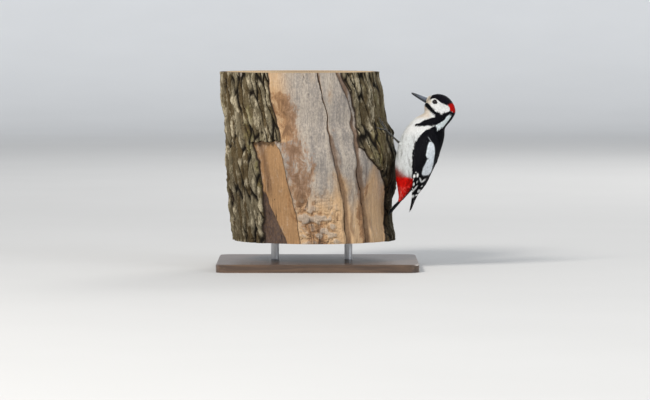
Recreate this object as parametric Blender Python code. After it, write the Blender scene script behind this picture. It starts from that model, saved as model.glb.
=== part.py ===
"""A male great spotted woodpecker clinging to a short cut length of trunk on a plain display stand.

All sizes are millimetres. The bird is drawn in its own frame and then turned and set down:
x runs from the trunk out through the bird's back, y to the bird's right, z up.
The trunk and the stand are drawn in the model's frame, z up from the underside of the base.
"""

import math

import bmesh
import bpy
from mathutils import Vector

MM = 0.001
GAP = 0.3                       # clearance between neighbouring pieces
SHARP_ANGLE = math.radians(38)  # edges sharper than this stay crisp in smooth shading

# Display stand
BASE_LENGTH = 300.0
BASE_WIDTH = 236.0
BASE_THICKNESS = 12.0
BASE_CORNER = 16.0
BASE_EDGE = 1.5
ROD_RADIUS = 6.0
ROD_LENGTH = 30.0
ROD_SPREAD = 110.0              # distance between the two rod centres
ROD_SHIFT = -9.0                # the rods stand about under the trunk's middle

# Cut length of trunk: (height above its lower end, centre offset, radius)
TRUNK_LENGTH = 252.0
TRUNK_SHIFT = -18.0             # the trunk stands off the base's middle, to leave room for the bird
TRUNK_PROFILE = (
    (0.0, 12.8, 122.2),
    (30.0, 9.0, 121.5),
    (60.0, 6.5, 122.5),
    (90.0, 6.6, 125.4),
    (120.0, 6.9, 127.1),
    (157.0, 2.1, 122.9),
    (180.0, -2.1, 119.6),
    (217.0, -5.7, 122.2),
    (252.0, -9.2, 119.7),
)
TRUNK_COLUMNS = 72
TRUNK_ROWS = 14
BARK_THICKNESS = 8.0            # the bare wood lies this far below the bark
BARK_RIDGE = 2.2
BARK_RIDGES = 17
BARE_LEFT = math.radians(121)   # bare wood ends here on the far side from the bird
BARE_TOP = math.radians(64)     # and here on the bird's side, at the upper end
BARE_LOW = math.radians(30)     # and here at the lower end
BARE_BLEND = 0.16               # width in radians of the step from bark to bare wood
BARE_RISE = (110.0, 190.0)      # heights between which its edge moves from the one to the other
BARK_WAVE = (38.0, 1.4)         # the ridges weave: height of a wave, and how far they sway
CALM_BARK = (0.25, 0.42)        # angle and spread of the smoother bark beside the bird
# Swellings and hollows of the bark: size, angle, spread, height, spread
BARK_BUMPS = (
    (5.0, 0.40, 0.26, 152.0, 26.0),     # under the higher foot
    (-2.5, 0.31, 0.20, 36.0, 24.0),     # behind the tail
    (8.0, -0.06, 0.16, 163.0, 30.0),    # two ribs on the far side of the feet
    (5.0, -0.06, 0.16, 84.0, 24.0),
)

# The bird's place: tip of the tail on the bark, and the turn of the whole bird
TAIL_TIP = (105.0, -36.0, 79.5)
YAW = math.radians(10)

# Flesh and coat as sections across the bird: (back x, back z, front x, front z, half width)
SECTIONS = {
    "bill base": (59.4, 176.4, 58.2, 167.4, 4.4),
    "lores": (63.4, 178.9, 55.0, 164.9, 8.2),
    "eye": (70.0, 181.2, 54.8, 161.6, 11.8),
    "crown": (78.0, 181.7, 55.0, 158.2, 13.6),
    "hind crown": (88.5, 177.8, 54.9, 155.2, 14.6),
    "nape": (97.5, 167.8, 53.0, 152.6, 15.0),
    "hind neck": (100.7, 155.0, 49.0, 150.3, 15.8),
    "neck": (94.5, 143.2, 42.0, 146.4, 18.0),
    "neck base": (85.4, 131.5, 33.2, 138.4, 21.5),
    "shoulder": (84.0, 119.0, 24.6, 126.6, 24.5),
    "breast": (81.0, 105.0, 18.0, 112.5, 26.0),
    "back": (75.5, 90.0, 13.5, 94.5, 26.0),
    "belly": (67.0, 74.0, 11.0, 76.5, 24.0),
    "flank": (55.5, 60.0, 12.0, 58.5, 20.0),
    "rump": (43.5, 47.0, 14.6, 42.0, 15.5),
    "vent": (31.5, 34.5, 16.3, 29.5, 12.0),
    "covert tips": (22.2, 24.2, 15.2, 21.0, 9.8),
}
HEAD_END = 6.30                 # section number where the head is parted from the neck
NECK_END = 7.55                 # and the neck from the body
FLESH_SIDES = 22
FLESH_FULLNESS = 0.92           # below 1 the sections are a little fuller than ellipses
SECTION_GAP = 0.035             # section numbers that come to the clearance

# Bill, from the feathers to the chisel tip
BILL_LENGTH = 27.0
BILL_BASE = (58.9, 171.4)
BILL_TIP = (34.9, 183.4)
FACE_RISE = (0.117, 0.993)      # direction up the front of the face, which the bill's root follows
BILL_DEPTH_UP = 4.4             # culmen above the cutting edge, at the feathers
BILL_DEPTH_DOWN = 4.1           # gonys below it
BILL_HALF_WIDTH = 4.3
BILL_TIP_HALF = 0.55            # half depth at the tip
BILL_TIP_HALF_WIDTH = 0.715
BILL_DEPTH_TAPER = 0.62         # powers below 1 keep the bill stout until near its tip
BILL_WIDTH_TAPER = 0.78
LOWER_BILL_SHARE = 0.985        # the lower half ends just short of the upper
# Half section of the bill: side and height as shares of its half width and depth
BILL_SECTION = ((-1.0, 0.0), (-0.9, 0.42), (-0.5, 0.82), (0.0, 1.0), (0.5, 0.82), (0.9, 0.42), (1.0, 0.0))

# Eyes
EYE_CENTRE = (72.0, 9.8, 169.8)
EYE_RADIUS = 4.0

# Folded wing: front edge x, z, back edge x, z, side of front edge, of back edge, bulge, thickness
WING = (
    (55.4, 128.0, 69.0, 130.2, 21.3, 20.6, 1.4, 2.5),
    (50.3, 120.3, 77.0, 120.3, 24.3, 19.4, 5.0, 4.4),
    (45.7, 110.3, 79.0, 108.8, 25.8, 15.6, 7.4, 5.2),
    (43.7, 99.3, 77.8, 96.0, 26.3, 12.4, 8.9, 5.4),
    (43.1, 87.0, 74.8, 84.0, 26.1, 8.4, 9.6, 5.0),
    (42.7, 75.0, 70.2, 74.0, 24.8, 5.2, 9.0, 4.5),
    (41.8, 63.0, 65.0, 63.5, 21.8, 3.4, 7.0, 3.8),
    (39.9, 51.0, 58.9, 51.0, 17.8, 2.8, 4.8, 3.2),
    (38.5, 40.5, 51.8, 39.5, 13.4, 2.8, 3.0, 2.6),
    (37.6, 31.0, 44.8, 30.0, 10.0, 3.2, 1.3, 2.0),
    (36.0, 21.0, 40.0, 21.0, 7.8, 4.6, 0.3, 1.5),
    (33.9, 12.0, 36.0, 11.6, 6.3, 5.0, 0.0, 1.1),
    (32.2, 5.6, 32.7, 5.4, 5.5, 5.1, 0.0, 0.8),
)
WING_ARCH = 0.8                 # power that flattens the wing's bulge toward its middle
WING_ARC = 8
WING_STEPS = 18

# Tail: (x, z, half width, thickness, droop of the edges toward the bark)
TAIL = (
    (31.0, 37.5, 5.5, 3.2, 0.2),
    (25.0, 30.4, 7.2, 3.1, 0.4),
    (18.8, 23.0, 9.0, 2.9, 0.8),
    (12.6, 15.4, 11.8, 2.6, 1.8),
    (6.8, 8.4, 11.0, 2.1, 2.0),
    (2.8, 3.4, 6.6, 1.6, 1.0),
    (0.8, 0.8, 2.2, 1.0, 0.1),
)
TAIL_THINNING = 0.55            # the tail thins toward its edges by this share
TAIL_ARC = 6
TAIL_STEPS = 12

# Legs: knee end and heel of the feathered thigh, then the foot on the bark (side, height)
THIGH_ROOT_RADIUS = 7.5
THIGH_HEEL_RADIUS = 4.4
TARSUS_RADII = (1.9, 1.5, 1.35, 1.35, 1.55)
LEGS = {
    "left": {"thigh": (31.0, -14.5, 98.0), "heel": (18.6, -13.8, 109.8), "foot": (-14.0, 127.5)},
    "right": {"thigh": (28.5, 14.0, 84.0), "heel": (11.8, 12.8, 68.5), "foot": (13.0, 87.5)},
}
ANKLE_LENGTH = 5.0              # from the middle of the foot to where the leg begins
PAD_RADIUS = 1.9
PAD_CLEARANCE = 1.3             # the middle of the foot is held off the bark
TOE_ROOT_RADIUS = 1.4
TOE_TIP_RADIUS = 0.85
TOE_CLEARANCE = 0.7
TOE_ARCH = 0.7
TOE_POINTS = 6
CLAW_ROOT = 0.7                 # straight part of a claw next to the toe
CLAW_REACH = 0.62               # span of a claw as a share of its length
CLAW_ARCH = 1.3
CLAW_TIP_LIFT = 0.75
CLAW_RADII = (0.80, 0.78, 0.74, 0.66, 0.54, 0.40, 0.25)
# Toes: name, direction from straight up toward the outer side, length, claw length
TOES = (
    ("inner", -20.0, 11.5, 6.0),
    ("middle", 7.0, 15.0, 7.0),
    ("outer", 74.0, 14.0, 7.0),
    ("hind", 222.0, 7.5, 5.0),
)

# Colours (linear) and surface of each material: base colour, roughness, metallic
LOOKS = {
    "black_feather": ((0.012, 0.012, 0.016), 0.55, 0.0),
    "white_feather": ((0.72, 0.69, 0.63), 0.70, 0.0),
    "bill_horn": ((0.075, 0.085, 0.10), 0.38, 0.0),
    "claw_horn": ((0.040, 0.040, 0.043), 0.35, 0.0),
    "leg_skin": ((0.11, 0.115, 0.11), 0.60, 0.0),
    "eye_glass": ((0.020, 0.006, 0.004), 0.08, 0.0),
    "trunk_wood": ((0.30, 0.215, 0.145), 0.85, 0.0),
    "base_wood": ((0.060, 0.042, 0.032), 0.50, 0.0),
    "rod_steel": ((0.55, 0.55, 0.56), 0.32, 1.0),
}


def clear_scene():
    for obj in list(bpy.data.objects):
        bpy.data.objects.remove(obj, do_unlink=True)


def material(name):
    """The material of that name, made the first time it is asked for."""
    found = bpy.data.materials.get(name)
    if found:
        return found
    colour, roughness, metallic = LOOKS[name]
    made = bpy.data.materials.new(name)
    made.use_nodes = True
    shader = made.node_tree.nodes["Principled BSDF"]
    shader.inputs["Base Color"].default_value = (*colour, 1.0)
    shader.inputs["Roughness"].default_value = roughness
    shader.inputs["Metallic"].default_value = metallic
    return made


def spline(rows, place):
    """Smooth value of a table of equal rows at a real row number (Catmull-Rom)."""
    last = len(rows) - 1
    i = min(max(int(place), 0), last - 1)
    f = place - i
    near = [rows[min(max(k, 0), last)] for k in (i - 1, i, i + 1, i + 2)]
    return [
        0.5 * (2 * b + (c - a) * f + (2 * a - 5 * b + 4 * c - d) * f**2 + (3 * b - a - 3 * c + d) * f**3)
        for a, b, c, d in zip(*near)
    ]


def steps(start, end, count):
    return [start + (end - start) * k / (count - 1) for k in range(count)]


def loft(name, rings, look, smooth=True):
    """A closed solid through rings of points in millimetres, flat at both ends."""
    bm = bmesh.new()
    loops = [[bm.verts.new(Vector(point) * MM) for point in ring] for ring in rings]
    sides = len(rings[0])
    for lower, upper in zip(loops, loops[1:]):
        for k in range(sides):
            n = (k + 1) % sides
            bm.faces.new((lower[k], lower[n], upper[n], upper[k]))
    bm.faces.new(loops[0])
    bm.faces.new(loops[-1])
    bmesh.ops.recalc_face_normals(bm, faces=bm.faces)
    mesh = bpy.data.meshes.new(name)
    bm.to_mesh(mesh)
    bm.free()
    obj = bpy.data.objects.new(name, mesh)
    bpy.context.scene.collection.objects.link(obj)
    mesh.materials.append(material(look))
    if smooth:
        mesh.shade_smooth()
        mesh.set_sharp_from_angle(angle=SHARP_ANGLE)
    return obj


def combine(target, others, operation):
    """Cuts others from target, or joins them to it, and removes them."""
    for other in others:
        modifier = target.modifiers.new(operation.lower(), "BOOLEAN")
        modifier.operation = operation
        modifier.solver = "EXACT"
        modifier.object = other
    bpy.context.view_layer.update()
    made = bpy.data.meshes.new_from_object(target.evaluated_get(bpy.context.evaluated_depsgraph_get()))
    target.modifiers.clear()
    target.data = made
    made.set_sharp_from_angle(angle=SHARP_ANGLE)
    made.name = target.name
    for other in others:
        bpy.data.objects.remove(other, do_unlink=True)


def set_bird(obj):
    """Turns a piece drawn in the bird's frame and sets it at the trunk."""
    obj.rotation_euler = (0.0, 0.0, -YAW)
    obj.location = Vector(TAIL_TIP) * MM


# Trunk and stand

def trunk_station(height):
    """Centre offset and radius of the trunk at a height above its lower end."""
    for low, high in zip(TRUNK_PROFILE, TRUNK_PROFILE[1:]):
        if height <= high[0]:
            break
    share = (height - low[0]) / (high[0] - low[0])
    share = share * share * (3 - 2 * share)
    return TRUNK_SHIFT + low[1] + (high[1] - low[1]) * share, low[2] + (high[2] - low[2]) * share


def soft_step(value, start, end):
    share = min(max((value - start) / (end - start), 0.0), 1.0)
    return share * share * (3 - 2 * share)


def bark_bump(bump, angle, height):
    size, at_angle, angle_spread, at_height, height_spread = bump
    off = ((angle - at_angle) / angle_spread) ** 2 + ((height - at_height) / height_spread) ** 2
    return size * math.exp(-off)


def bark_radius(angle, height):
    """Outer radius of the trunk; the angle runs from the bird's side round its left side."""
    edge = BARE_LOW + (BARE_TOP - BARE_LOW) * soft_step(height, *BARE_RISE)
    bare = soft_step(angle, edge, edge + BARE_BLEND)
    bare *= 1 - soft_step(angle, BARE_LEFT - BARE_BLEND, BARE_LEFT)
    wave, sway = BARK_WAVE
    ridge = math.sin(BARK_RIDGES * angle + sway * math.sin(height / wave))
    rough = (1 - bare) * (1 - math.exp(-((angle - CALM_BARK[0]) / CALM_BARK[1]) ** 2))
    return (
        trunk_station(height)[1]
        - BARK_THICKNESS * bare
        + BARK_RIDGE * (ridge - 1.0) * 0.5 * rough
        + sum(bark_bump(bump, angle, height) for bump in BARK_BUMPS)
    )


def trunk_ring(height):
    centre = trunk_station(height)[0]
    ring = []
    for k in range(TRUNK_COLUMNS):
        turn = 2 * math.pi * k / TRUNK_COLUMNS
        angle = (turn + math.pi / 2) % (2 * math.pi) - math.pi / 2
        radius = bark_radius(angle, height)
        z = BASE_THICKNESS + ROD_LENGTH + height
        ring.append((centre + radius * math.cos(turn), -radius * math.sin(turn), z))
    return ring


def build_trunk():
    return loft("perch_log", [trunk_ring(h) for h in steps(0.0, TRUNK_LENGTH, TRUNK_ROWS)], "trunk_wood")


def bark_between_rows(angle, height):
    """Centre offset and radius of the faceted bark, straight between its rows."""
    row = TRUNK_LENGTH / (TRUNK_ROWS - 1)
    low = row * math.floor(height / row)
    share = (height - low) / row
    centres = [trunk_station(h)[0] for h in (low, low + row)]
    radii = [bark_radius(angle, h) for h in (low, low + row)]
    return [a + (b - a) * share for a, b in (centres, radii)]


def bark_depth(side, height):
    """x, in the bird's frame, of the bark surface at a side y and a height z."""
    low, high = -40.0, 40.0
    level = TAIL_TIP[2] + height - BASE_THICKNESS - ROD_LENGTH
    centre = trunk_station(level)[0]
    for _ in range(24):
        x = (low + high) / 2
        world_x = TAIL_TIP[0] + x * math.cos(YAW) + side * math.sin(YAW)
        world_y = TAIL_TIP[1] - x * math.sin(YAW) + side * math.cos(YAW)
        centre, radius = bark_between_rows(math.atan2(-world_y, world_x - centre), level)
        outside = math.hypot(world_x - centre, world_y) > radius
        low, high = (low, x) if outside else (x, high)
    return (low + high) / 2


def build_stand():
    ring = []
    for sign_x, sign_y, start in ((1, 1, 0), (-1, 1, 90), (-1, -1, 180), (1, -1, 270)):
        for turn in steps(math.radians(start), math.radians(start + 90), 7):
            x = sign_x * (BASE_LENGTH / 2 - BASE_CORNER) + BASE_CORNER * math.cos(turn)
            y = sign_y * (BASE_WIDTH / 2 - BASE_CORNER) + BASE_CORNER * math.sin(turn)
            ring.append((x, y))
    rings = []
    for z, inset in ((0.0, 0.0), (BASE_THICKNESS - BASE_EDGE, 0.0), (BASE_THICKNESS, BASE_EDGE)):
        share_x = 1 - 2 * inset / BASE_LENGTH
        share_y = 1 - 2 * inset / BASE_WIDTH
        rings.append([(x * share_x, y * share_y, z) for x, y in ring])
    pieces = [loft("stand_base", rings, "base_wood", smooth=False)]
    for label, sign in (("left", -1), ("right", 1)):
        rings = []
        for z in (BASE_THICKNESS + GAP, BASE_THICKNESS + ROD_LENGTH - GAP):
            centre_x = ROD_SHIFT + sign * ROD_SPREAD / 2
            turns = [2 * math.pi * k / 24 for k in range(24)]
            rings.append(
                [(centre_x + ROD_RADIUS * math.cos(a), ROD_RADIUS * math.sin(a), z) for a in turns]
            )
        pieces.append(loft(f"stand_rod_{label}", rings, "rod_steel"))
    return pieces


# Head, neck and body

def flesh_ring(place):
    """Egg-shaped section of the bird at a real section number."""
    back_x, back_z, front_x, front_z, half = spline(list(SECTIONS.values()), place)
    ring = []
    for k in range(FLESH_SIDES):
        turn = 2 * math.pi * k / FLESH_SIDES
        along = 0.5 + 0.5 * math.cos(turn)
        side = math.copysign(abs(math.sin(turn)) ** FLESH_FULLNESS, math.sin(turn))
        x = front_x + (back_x - front_x) * along
        z = front_z + (back_z - front_z) * along
        ring.append((x, half * side, z))
    return ring


def build_flesh():
    last = len(SECTIONS) - 1
    spans = (
        ("head", 0.0, HEAD_END, 17, "black_feather"),
        ("neck", HEAD_END + SECTION_GAP, NECK_END, 5, "black_feather"),
        ("body", NECK_END + SECTION_GAP, last, 24, "white_feather"),
    )
    return [loft(name, [flesh_ring(p) for p in steps(start, end, rings)], look)
            for name, start, end, rings, look in spans]


# Bill and eyes

def bill_ring(share, upper):
    """Section of one half of the bill; share runs from the feathers to the tip."""
    base, tip = Vector(BILL_BASE), Vector(BILL_TIP)
    axis = (tip - base).normalized()
    rise = Vector(FACE_RISE).lerp(Vector((axis.y, -axis.x)), share)
    centre = base.lerp(tip, share)
    root_depth = BILL_DEPTH_UP if upper else BILL_DEPTH_DOWN
    depth = BILL_TIP_HALF + (root_depth - BILL_TIP_HALF) * (1 - share) ** BILL_DEPTH_TAPER
    narrowing = (BILL_HALF_WIDTH - BILL_TIP_HALF_WIDTH) * (1 - share) ** BILL_WIDTH_TAPER
    half = BILL_TIP_HALF_WIDTH + narrowing
    sign = 1 if upper else -1
    ring = []
    for along, height in BILL_SECTION:
        offset = rise * sign * (GAP / 2 + depth * height)
        ring.append((centre.x + offset.x, half * along, centre.y + offset.y))
    return ring


def build_bill():
    start = 1.2 * GAP / BILL_LENGTH
    pieces = []
    for name, upper in (("bill_upper", True), ("bill_lower", False)):
        end = 1.0 if upper else LOWER_BILL_SHARE
        rings = [bill_ring(s, upper) for s in steps(start, end, 8)]
        pieces.append(loft(name, rings, "bill_horn"))
    return pieces


def ball(name, centre, radius, look):
    rings = []
    for k in range(1, 8):
        fall = math.pi * k / 8
        turns = [2 * math.pi * n / 12 for n in range(12)]
        r = radius * math.sin(fall)
        x, y, z = centre
        rings.append(
            [(x + r * math.cos(a), y + radius * math.cos(fall), z + r * math.sin(a)) for a in turns]
        )
    return loft(name, rings, look)


def build_eyes(head):
    eyes = []
    x, y, z = EYE_CENTRE
    sockets = []
    for label, sign in (("left", -1), ("right", 1)):
        eyes.append(ball(f"eye_{label}", (x, sign * y, z), EYE_RADIUS, "eye_glass"))
        sockets.append(ball("socket", (x, sign * y, z), EYE_RADIUS + GAP * 1.15, "eye_glass"))
    combine(head, sockets, "DIFFERENCE")
    return eyes


# Wings and tail

def wing_ring(place, sign, grow):
    """Crescent section of a folded wing, from its front edge over the outside and back inside."""
    front_x, front_z, back_x, back_z, front_y, back_y, bulge, thick = spline(WING, place)
    reach = math.hypot(back_x - front_x, back_y - front_y) or 1.0
    outer = []
    for u in steps(-grow / reach, 1 + grow / reach, WING_ARC):
        arch = bulge * math.sin(math.pi * min(max(u, 0.0), 1.0)) ** WING_ARCH
        x = front_x + (back_x - front_x) * u
        z = front_z + (back_z - front_z) * u
        outer.append(Vector((x, front_y + (back_y - front_y) * u + arch, z)))
    inner = []
    for k, point in enumerate(outer):
        before, after = outer[max(k - 1, 0)], outer[min(k + 1, WING_ARC - 1)]
        along = (after - before).normalized()
        inward = Vector((along.y, -along.x, 0.0)).normalized()
        share = 0.35 + 0.65 * math.sin(math.pi * k / (WING_ARC - 1))
        inner.append(point + inward * (thick * share + grow))
        outer[k] = point - inward * grow
    return [(p.x, sign * p.y, p.z) for p in outer + inner[::-1]]


def wing_rings(sign, grow=0.0):
    last = len(WING) - 1
    rings = [wing_ring(p, sign, grow) for p in steps(0.0, last, WING_STEPS)]
    if grow:
        rings[0] = [(x, y, z + grow) for x, y, z in rings[0]]
        rings[-1] = [(x, y, z - grow) for x, y, z in rings[-1]]
    return rings


def build_wings(body):
    wings = []
    beds = []
    for label, sign in (("left", -1), ("right", 1)):
        wings.append(loft(f"wing_{label}", wing_rings(sign), "black_feather"))
        beds.append(loft("bed", wing_rings(sign, GAP * 1.2), "black_feather"))
    combine(body, beds, "DIFFERENCE")
    return wings


def tail_ring(place, grow):
    """Arched section of the stiff tail, its edges drooping toward the bark."""
    x, z, half, thick, droop = spline(TAIL, place)
    ahead = spline(TAIL, min(place + 0.05, len(TAIL) - 1))
    behind = spline(TAIL, max(place - 0.05, 0.0))
    along = Vector((ahead[0] - behind[0], ahead[1] - behind[1])).normalized()
    back = Vector((-along.y, along.x)) if along.y < 0 else Vector((along.y, -along.x))
    outer, inner = [], []
    for u in steps(-1.0, 1.0, TAIL_ARC):
        sag = droop * u * u
        share = 0.5 * (1 - TAIL_THINNING * u * u)
        for side, offset in ((outer, share * thick + grow), (inner, -share * thick - grow)):
            shift = back * (offset - sag)
            side.append((x + shift.x, (half + grow) * u, z + shift.y))
    return outer + inner[::-1]


def tail_rings(grow=0.0):
    last = len(TAIL) - 1
    rings = [tail_ring(p, grow) for p in steps(0.0, last, TAIL_STEPS)]
    if grow:
        rings[0] = [(x + grow, y, z + grow) for x, y, z in rings[0]]
    return rings


def build_tail(body):
    tail = loft("tail", tail_rings(), "black_feather")
    combine(body, [loft("pocket", tail_rings(GAP * 1.2), "black_feather")], "DIFFERENCE")
    return tail


# Legs, feet and claws

def tube(name, path, radii, look, sides=8):
    """A round tube along a path of points with a radius at each."""
    rings = []
    for k, point in enumerate(path):
        before, after = path[max(k - 1, 0)], path[min(k + 1, len(path) - 1)]
        along = (after - before).normalized()
        across = along.cross(Vector((0.31, 0.87, 0.38))).normalized()
        over = along.cross(across)
        turns = [2 * math.pi * n / sides for n in range(sides)]
        rings.append([point + radii[k] * (across * math.cos(a) + over * math.sin(a)) for a in turns])
    return loft(name, rings, look)


def lobe(name, root, heel, grow):
    """Feathered thigh: a rounded lobe tapering from the body to the heel."""
    root, heel = Vector(root), Vector(heel)
    along = (heel - root).normalized()
    path, radii = [], []
    for share in steps(0.0, 1.0, 9):
        path.append(root + (heel - root) * share + along * grow * (2 * share - 1))
        width = THIGH_ROOT_RADIUS + (THIGH_HEEL_RADIUS - THIGH_ROOT_RADIUS) * share
        round_end = math.sqrt(max(1 - (2 * abs(share - 0.5)) ** 4, 0.06))
        radii.append(width * round_end + grow)
    return tube(name, path, radii, "white_feather", sides=10)


def on_bark(side, height, lift):
    return Vector((bark_depth(side, height) + lift, side, height))


def toe_path(foot, outward, direction, reach, lift_start, lift_end):
    """Points along a toe that lies on the bark, arched between its pad and its tip."""
    turn = math.radians(direction)
    points = []
    for share in steps(0.0, 1.0, TOE_POINTS):
        side = foot[0] + outward * math.sin(turn) * reach * share
        height = foot[1] + math.cos(turn) * reach * share
        lift = lift_start + (lift_end - lift_start) * share + TOE_ARCH * math.sin(math.pi * share)
        points.append(on_bark(side, height, lift))
    return points


def claw_path(toe, outward, direction, claw):
    """A hooked arc from the end of a toe, up and over to the bark."""
    turn = math.radians(direction)
    along = (toe[-1] - toe[-2]).normalized()
    root = toe[-1] + along * GAP
    start = root + along * CLAW_ROOT
    side = start.y + outward * math.sin(turn) * claw * CLAW_REACH
    height = start.z + math.cos(turn) * claw * CLAW_REACH
    tip = on_bark(side, height, CLAW_TIP_LIFT)
    points = [root]
    for share in steps(0.0, 1.0, 6):
        point = start.lerp(tip, share)
        point.x += CLAW_ARCH * math.sin(math.pi * share ** 0.8)
        points.append(point)
    return points


def build_leg(label, leg, body):
    outward = -1 if label == "left" else 1
    thigh = lobe(f"thigh_{label}", leg["thigh"], leg["heel"], 0.0)
    combine(body, [lobe("hollow", leg["thigh"], leg["heel"], GAP * 1.3)], "DIFFERENCE")

    pad_lift = PAD_RADIUS + GAP + PAD_CLEARANCE
    pad = on_bark(*leg["foot"], pad_lift)
    heel = Vector(leg["heel"])
    along = (pad - heel).normalized()
    ankle = pad - along * ANKLE_LENGTH
    path = [heel.lerp(ankle - along * GAP, share) for share in steps(0.0, 1.0, 5)]
    tarsus = tube(f"tarsus_{label}", path, TARSUS_RADII, "leg_skin")
    path[0] = heel - along * GAP
    wide = [radius + GAP * 1.2 for radius in TARSUS_RADII]
    combine(thigh, [tube("sleeve", path, wide, "leg_skin")], "DIFFERENCE")

    toes = [tube("ankle", [pad, ankle], [TARSUS_RADII[-2], TARSUS_RADII[-1]], "leg_skin")]
    claws = []
    for name, direction, reach, claw in TOES:
        path = toe_path(leg["foot"], outward, direction, reach, pad_lift, TOE_TIP_RADIUS + TOE_CLEARANCE)
        radii = steps(TOE_ROOT_RADIUS, TOE_TIP_RADIUS, len(path))
        toes.append(tube("toe", path, radii, "leg_skin", sides=6))
        hook = claw_path(path, outward, direction, claw)
        claws.append(tube(f"claw_{label}_{name}", hook, CLAW_RADII, "claw_horn", sides=5))
    foot = ball(f"foot_{label}", pad, PAD_RADIUS, "leg_skin")
    combine(foot, toes, "UNION")
    return [thigh, tarsus, foot] + claws


def build_bird():
    head, neck, body = build_flesh()
    pieces = [head, neck, body]
    pieces += build_bill()
    pieces += build_eyes(head)
    pieces += build_wings(body)
    pieces.append(build_tail(body))
    for label, leg in LEGS.items():
        pieces += build_leg(label, leg, body)
    for piece in pieces:
        set_bird(piece)


clear_scene()
build_stand()
build_trunk()
build_bird()
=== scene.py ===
import math

import bpy
import numpy as np
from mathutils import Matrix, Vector


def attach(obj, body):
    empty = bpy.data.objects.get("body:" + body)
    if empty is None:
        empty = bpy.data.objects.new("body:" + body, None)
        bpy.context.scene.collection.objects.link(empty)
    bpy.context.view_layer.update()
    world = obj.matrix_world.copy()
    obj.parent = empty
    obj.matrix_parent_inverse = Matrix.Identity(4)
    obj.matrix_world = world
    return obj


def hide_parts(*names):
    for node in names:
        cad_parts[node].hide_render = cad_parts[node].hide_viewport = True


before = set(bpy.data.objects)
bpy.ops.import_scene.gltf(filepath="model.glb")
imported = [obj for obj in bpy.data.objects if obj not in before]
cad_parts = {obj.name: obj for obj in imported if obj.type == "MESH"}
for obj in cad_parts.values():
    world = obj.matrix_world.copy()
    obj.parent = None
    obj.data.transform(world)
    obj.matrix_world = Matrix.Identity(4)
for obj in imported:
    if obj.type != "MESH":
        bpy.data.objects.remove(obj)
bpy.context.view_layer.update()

print("frame loaded")


class Wire:
    # wraps one output socket, so that shader maths reads as plain sums
    def __init__(self, look, out):
        self.look, self.out = look, out

    def calc(self, operation, *values):
        return self.look.node("Math", {"operation": operation}, dict(enumerate(values)))

    def __add__(self, other):
        return self.calc("ADD", self, other)

    def __sub__(self, other):
        return self.calc("SUBTRACT", self, other)

    def __rsub__(self, other):
        return self.calc("SUBTRACT", other, self)

    def __mul__(self, other):
        return self.calc("MULTIPLY", self, other)

    def __pow__(self, other):
        return self.calc("POWER", self, other)

    def __abs__(self):
        return self.calc("ABSOLUTE", self)

    def wave(self):
        return self.calc("SINE", self)

    def clip(self, low, high):
        # 0 below low, 1 above high, smooth between
        settings = {"interpolation_type": "SMOOTHSTEP", "clamp": True}
        return self.look.node("MapRange", settings, {0: self, 1: low, 2: high, 3: 0.0, 4: 1.0})

    __radd__, __rmul__ = __add__, __mul__


class Look:
    # a material with its Principled shader, and the one method that adds nodes to it
    def __init__(self, name, fixed):
        self.material = bpy.data.materials.new(name)
        self.material.use_nodes = True
        self.tree = self.material.node_tree
        self.shader = self.tree.nodes["Principled BSDF"]
        self.set(fixed)

    def set(self, values):
        for key, value in values.items():
            self.plug(self.shader.inputs[key], value)

    def plug(self, socket, value):
        if isinstance(value, Wire):
            self.tree.links.new(value.out, socket)
        elif isinstance(value, (tuple, list)) and len(value) == 3 and socket.type == "RGBA":
            socket.default_value = (*value, 1.0)
        else:
            socket.default_value = value

    def node(self, kind, settings=None, sockets=None, out=0):
        made = self.tree.nodes.new("ShaderNode" + kind)
        for key, value in (settings or {}).items():
            setattr(made, key, value)
        for key, value in (sockets or {}).items():
            self.plug(made.inputs[key], value)
        return Wire(self, made.outputs[out])

    def place(self, scale=(1.0, 1.0, 1.0)):
        # a point of the model in metres, stretched
        point = self.node("TexCoord", out=3)
        return self.node("VectorMath", {"operation": "MULTIPLY"}, {0: point, 1: scale})

    def noise(self, point, scale, detail=3.0, roughness=0.55, distortion=0.0):
        sockets = {0: point, 2: scale, 3: detail, 4: roughness, 8: distortion}
        return self.node("TexNoise", sockets=sockets)

    def mix(self, share, first, second, way="MIX"):
        settings = {"data_type": "RGBA", "blend_type": way}
        return self.node("Mix", settings, {0: share, 6: first, 7: second}, out=2)

    def layers(self, colour, *coats):
        # one colour over another, each by its own share
        for share, coat in coats:
            colour = self.mix(share, colour, coat)
        return colour

    def shade(self, colour, value):
        # a colour made darker or lighter by a number
        grey = self.node("CombineColor", sockets={0: value, 1: value, 2: value})
        return self.mix(1.0, colour, grey, "MULTIPLY")

    def painted(self, name):
        return self.node("Attribute", {"attribute_name": name})

    def parts(self, name):
        # the three numbers of a painted vector
        vector = self.node("Attribute", {"attribute_name": name}, out=1)
        return [self.node("SeparateXYZ", sockets={0: vector}, out=k) for k in range(3)]

    def spun(self, x, y, z=0.0):
        # a point made of three numbers, for noise that follows a shape
        return self.node("CombineXYZ", sockets={0: x, 1: y, 2: z})

    def bump(self, height, depth, strength=1.0):
        sockets = {"Height": height, "Distance": depth, "Strength": strength}
        self.set({"Normal": self.node("Bump", sockets=sockets)})


def softStep(value, start, end):
    share = np.clip((value - start) / (end - start), 0.0, 1.0)
    return share * share * (3 - 2 * share)


def blend(first, second, share):
    return first + (second - first) * share


def bell(distance, spread):
    return np.exp(-((distance / spread) ** 2))


def cellLuck(a, b, c, seed):
    # a number from 0 to 1 that belongs to three whole numbers
    mixed = (a * 374761393 + b * 668265263 + c * 1274126177 + seed * 97463) & 0xFFFFFFFF
    mixed = ((mixed ^ (mixed >> 13)) * 1103515245) & 0xFFFFFFFF
    return ((mixed ^ (mixed >> 16)) & 0xFFFF) / 65535.0


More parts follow.
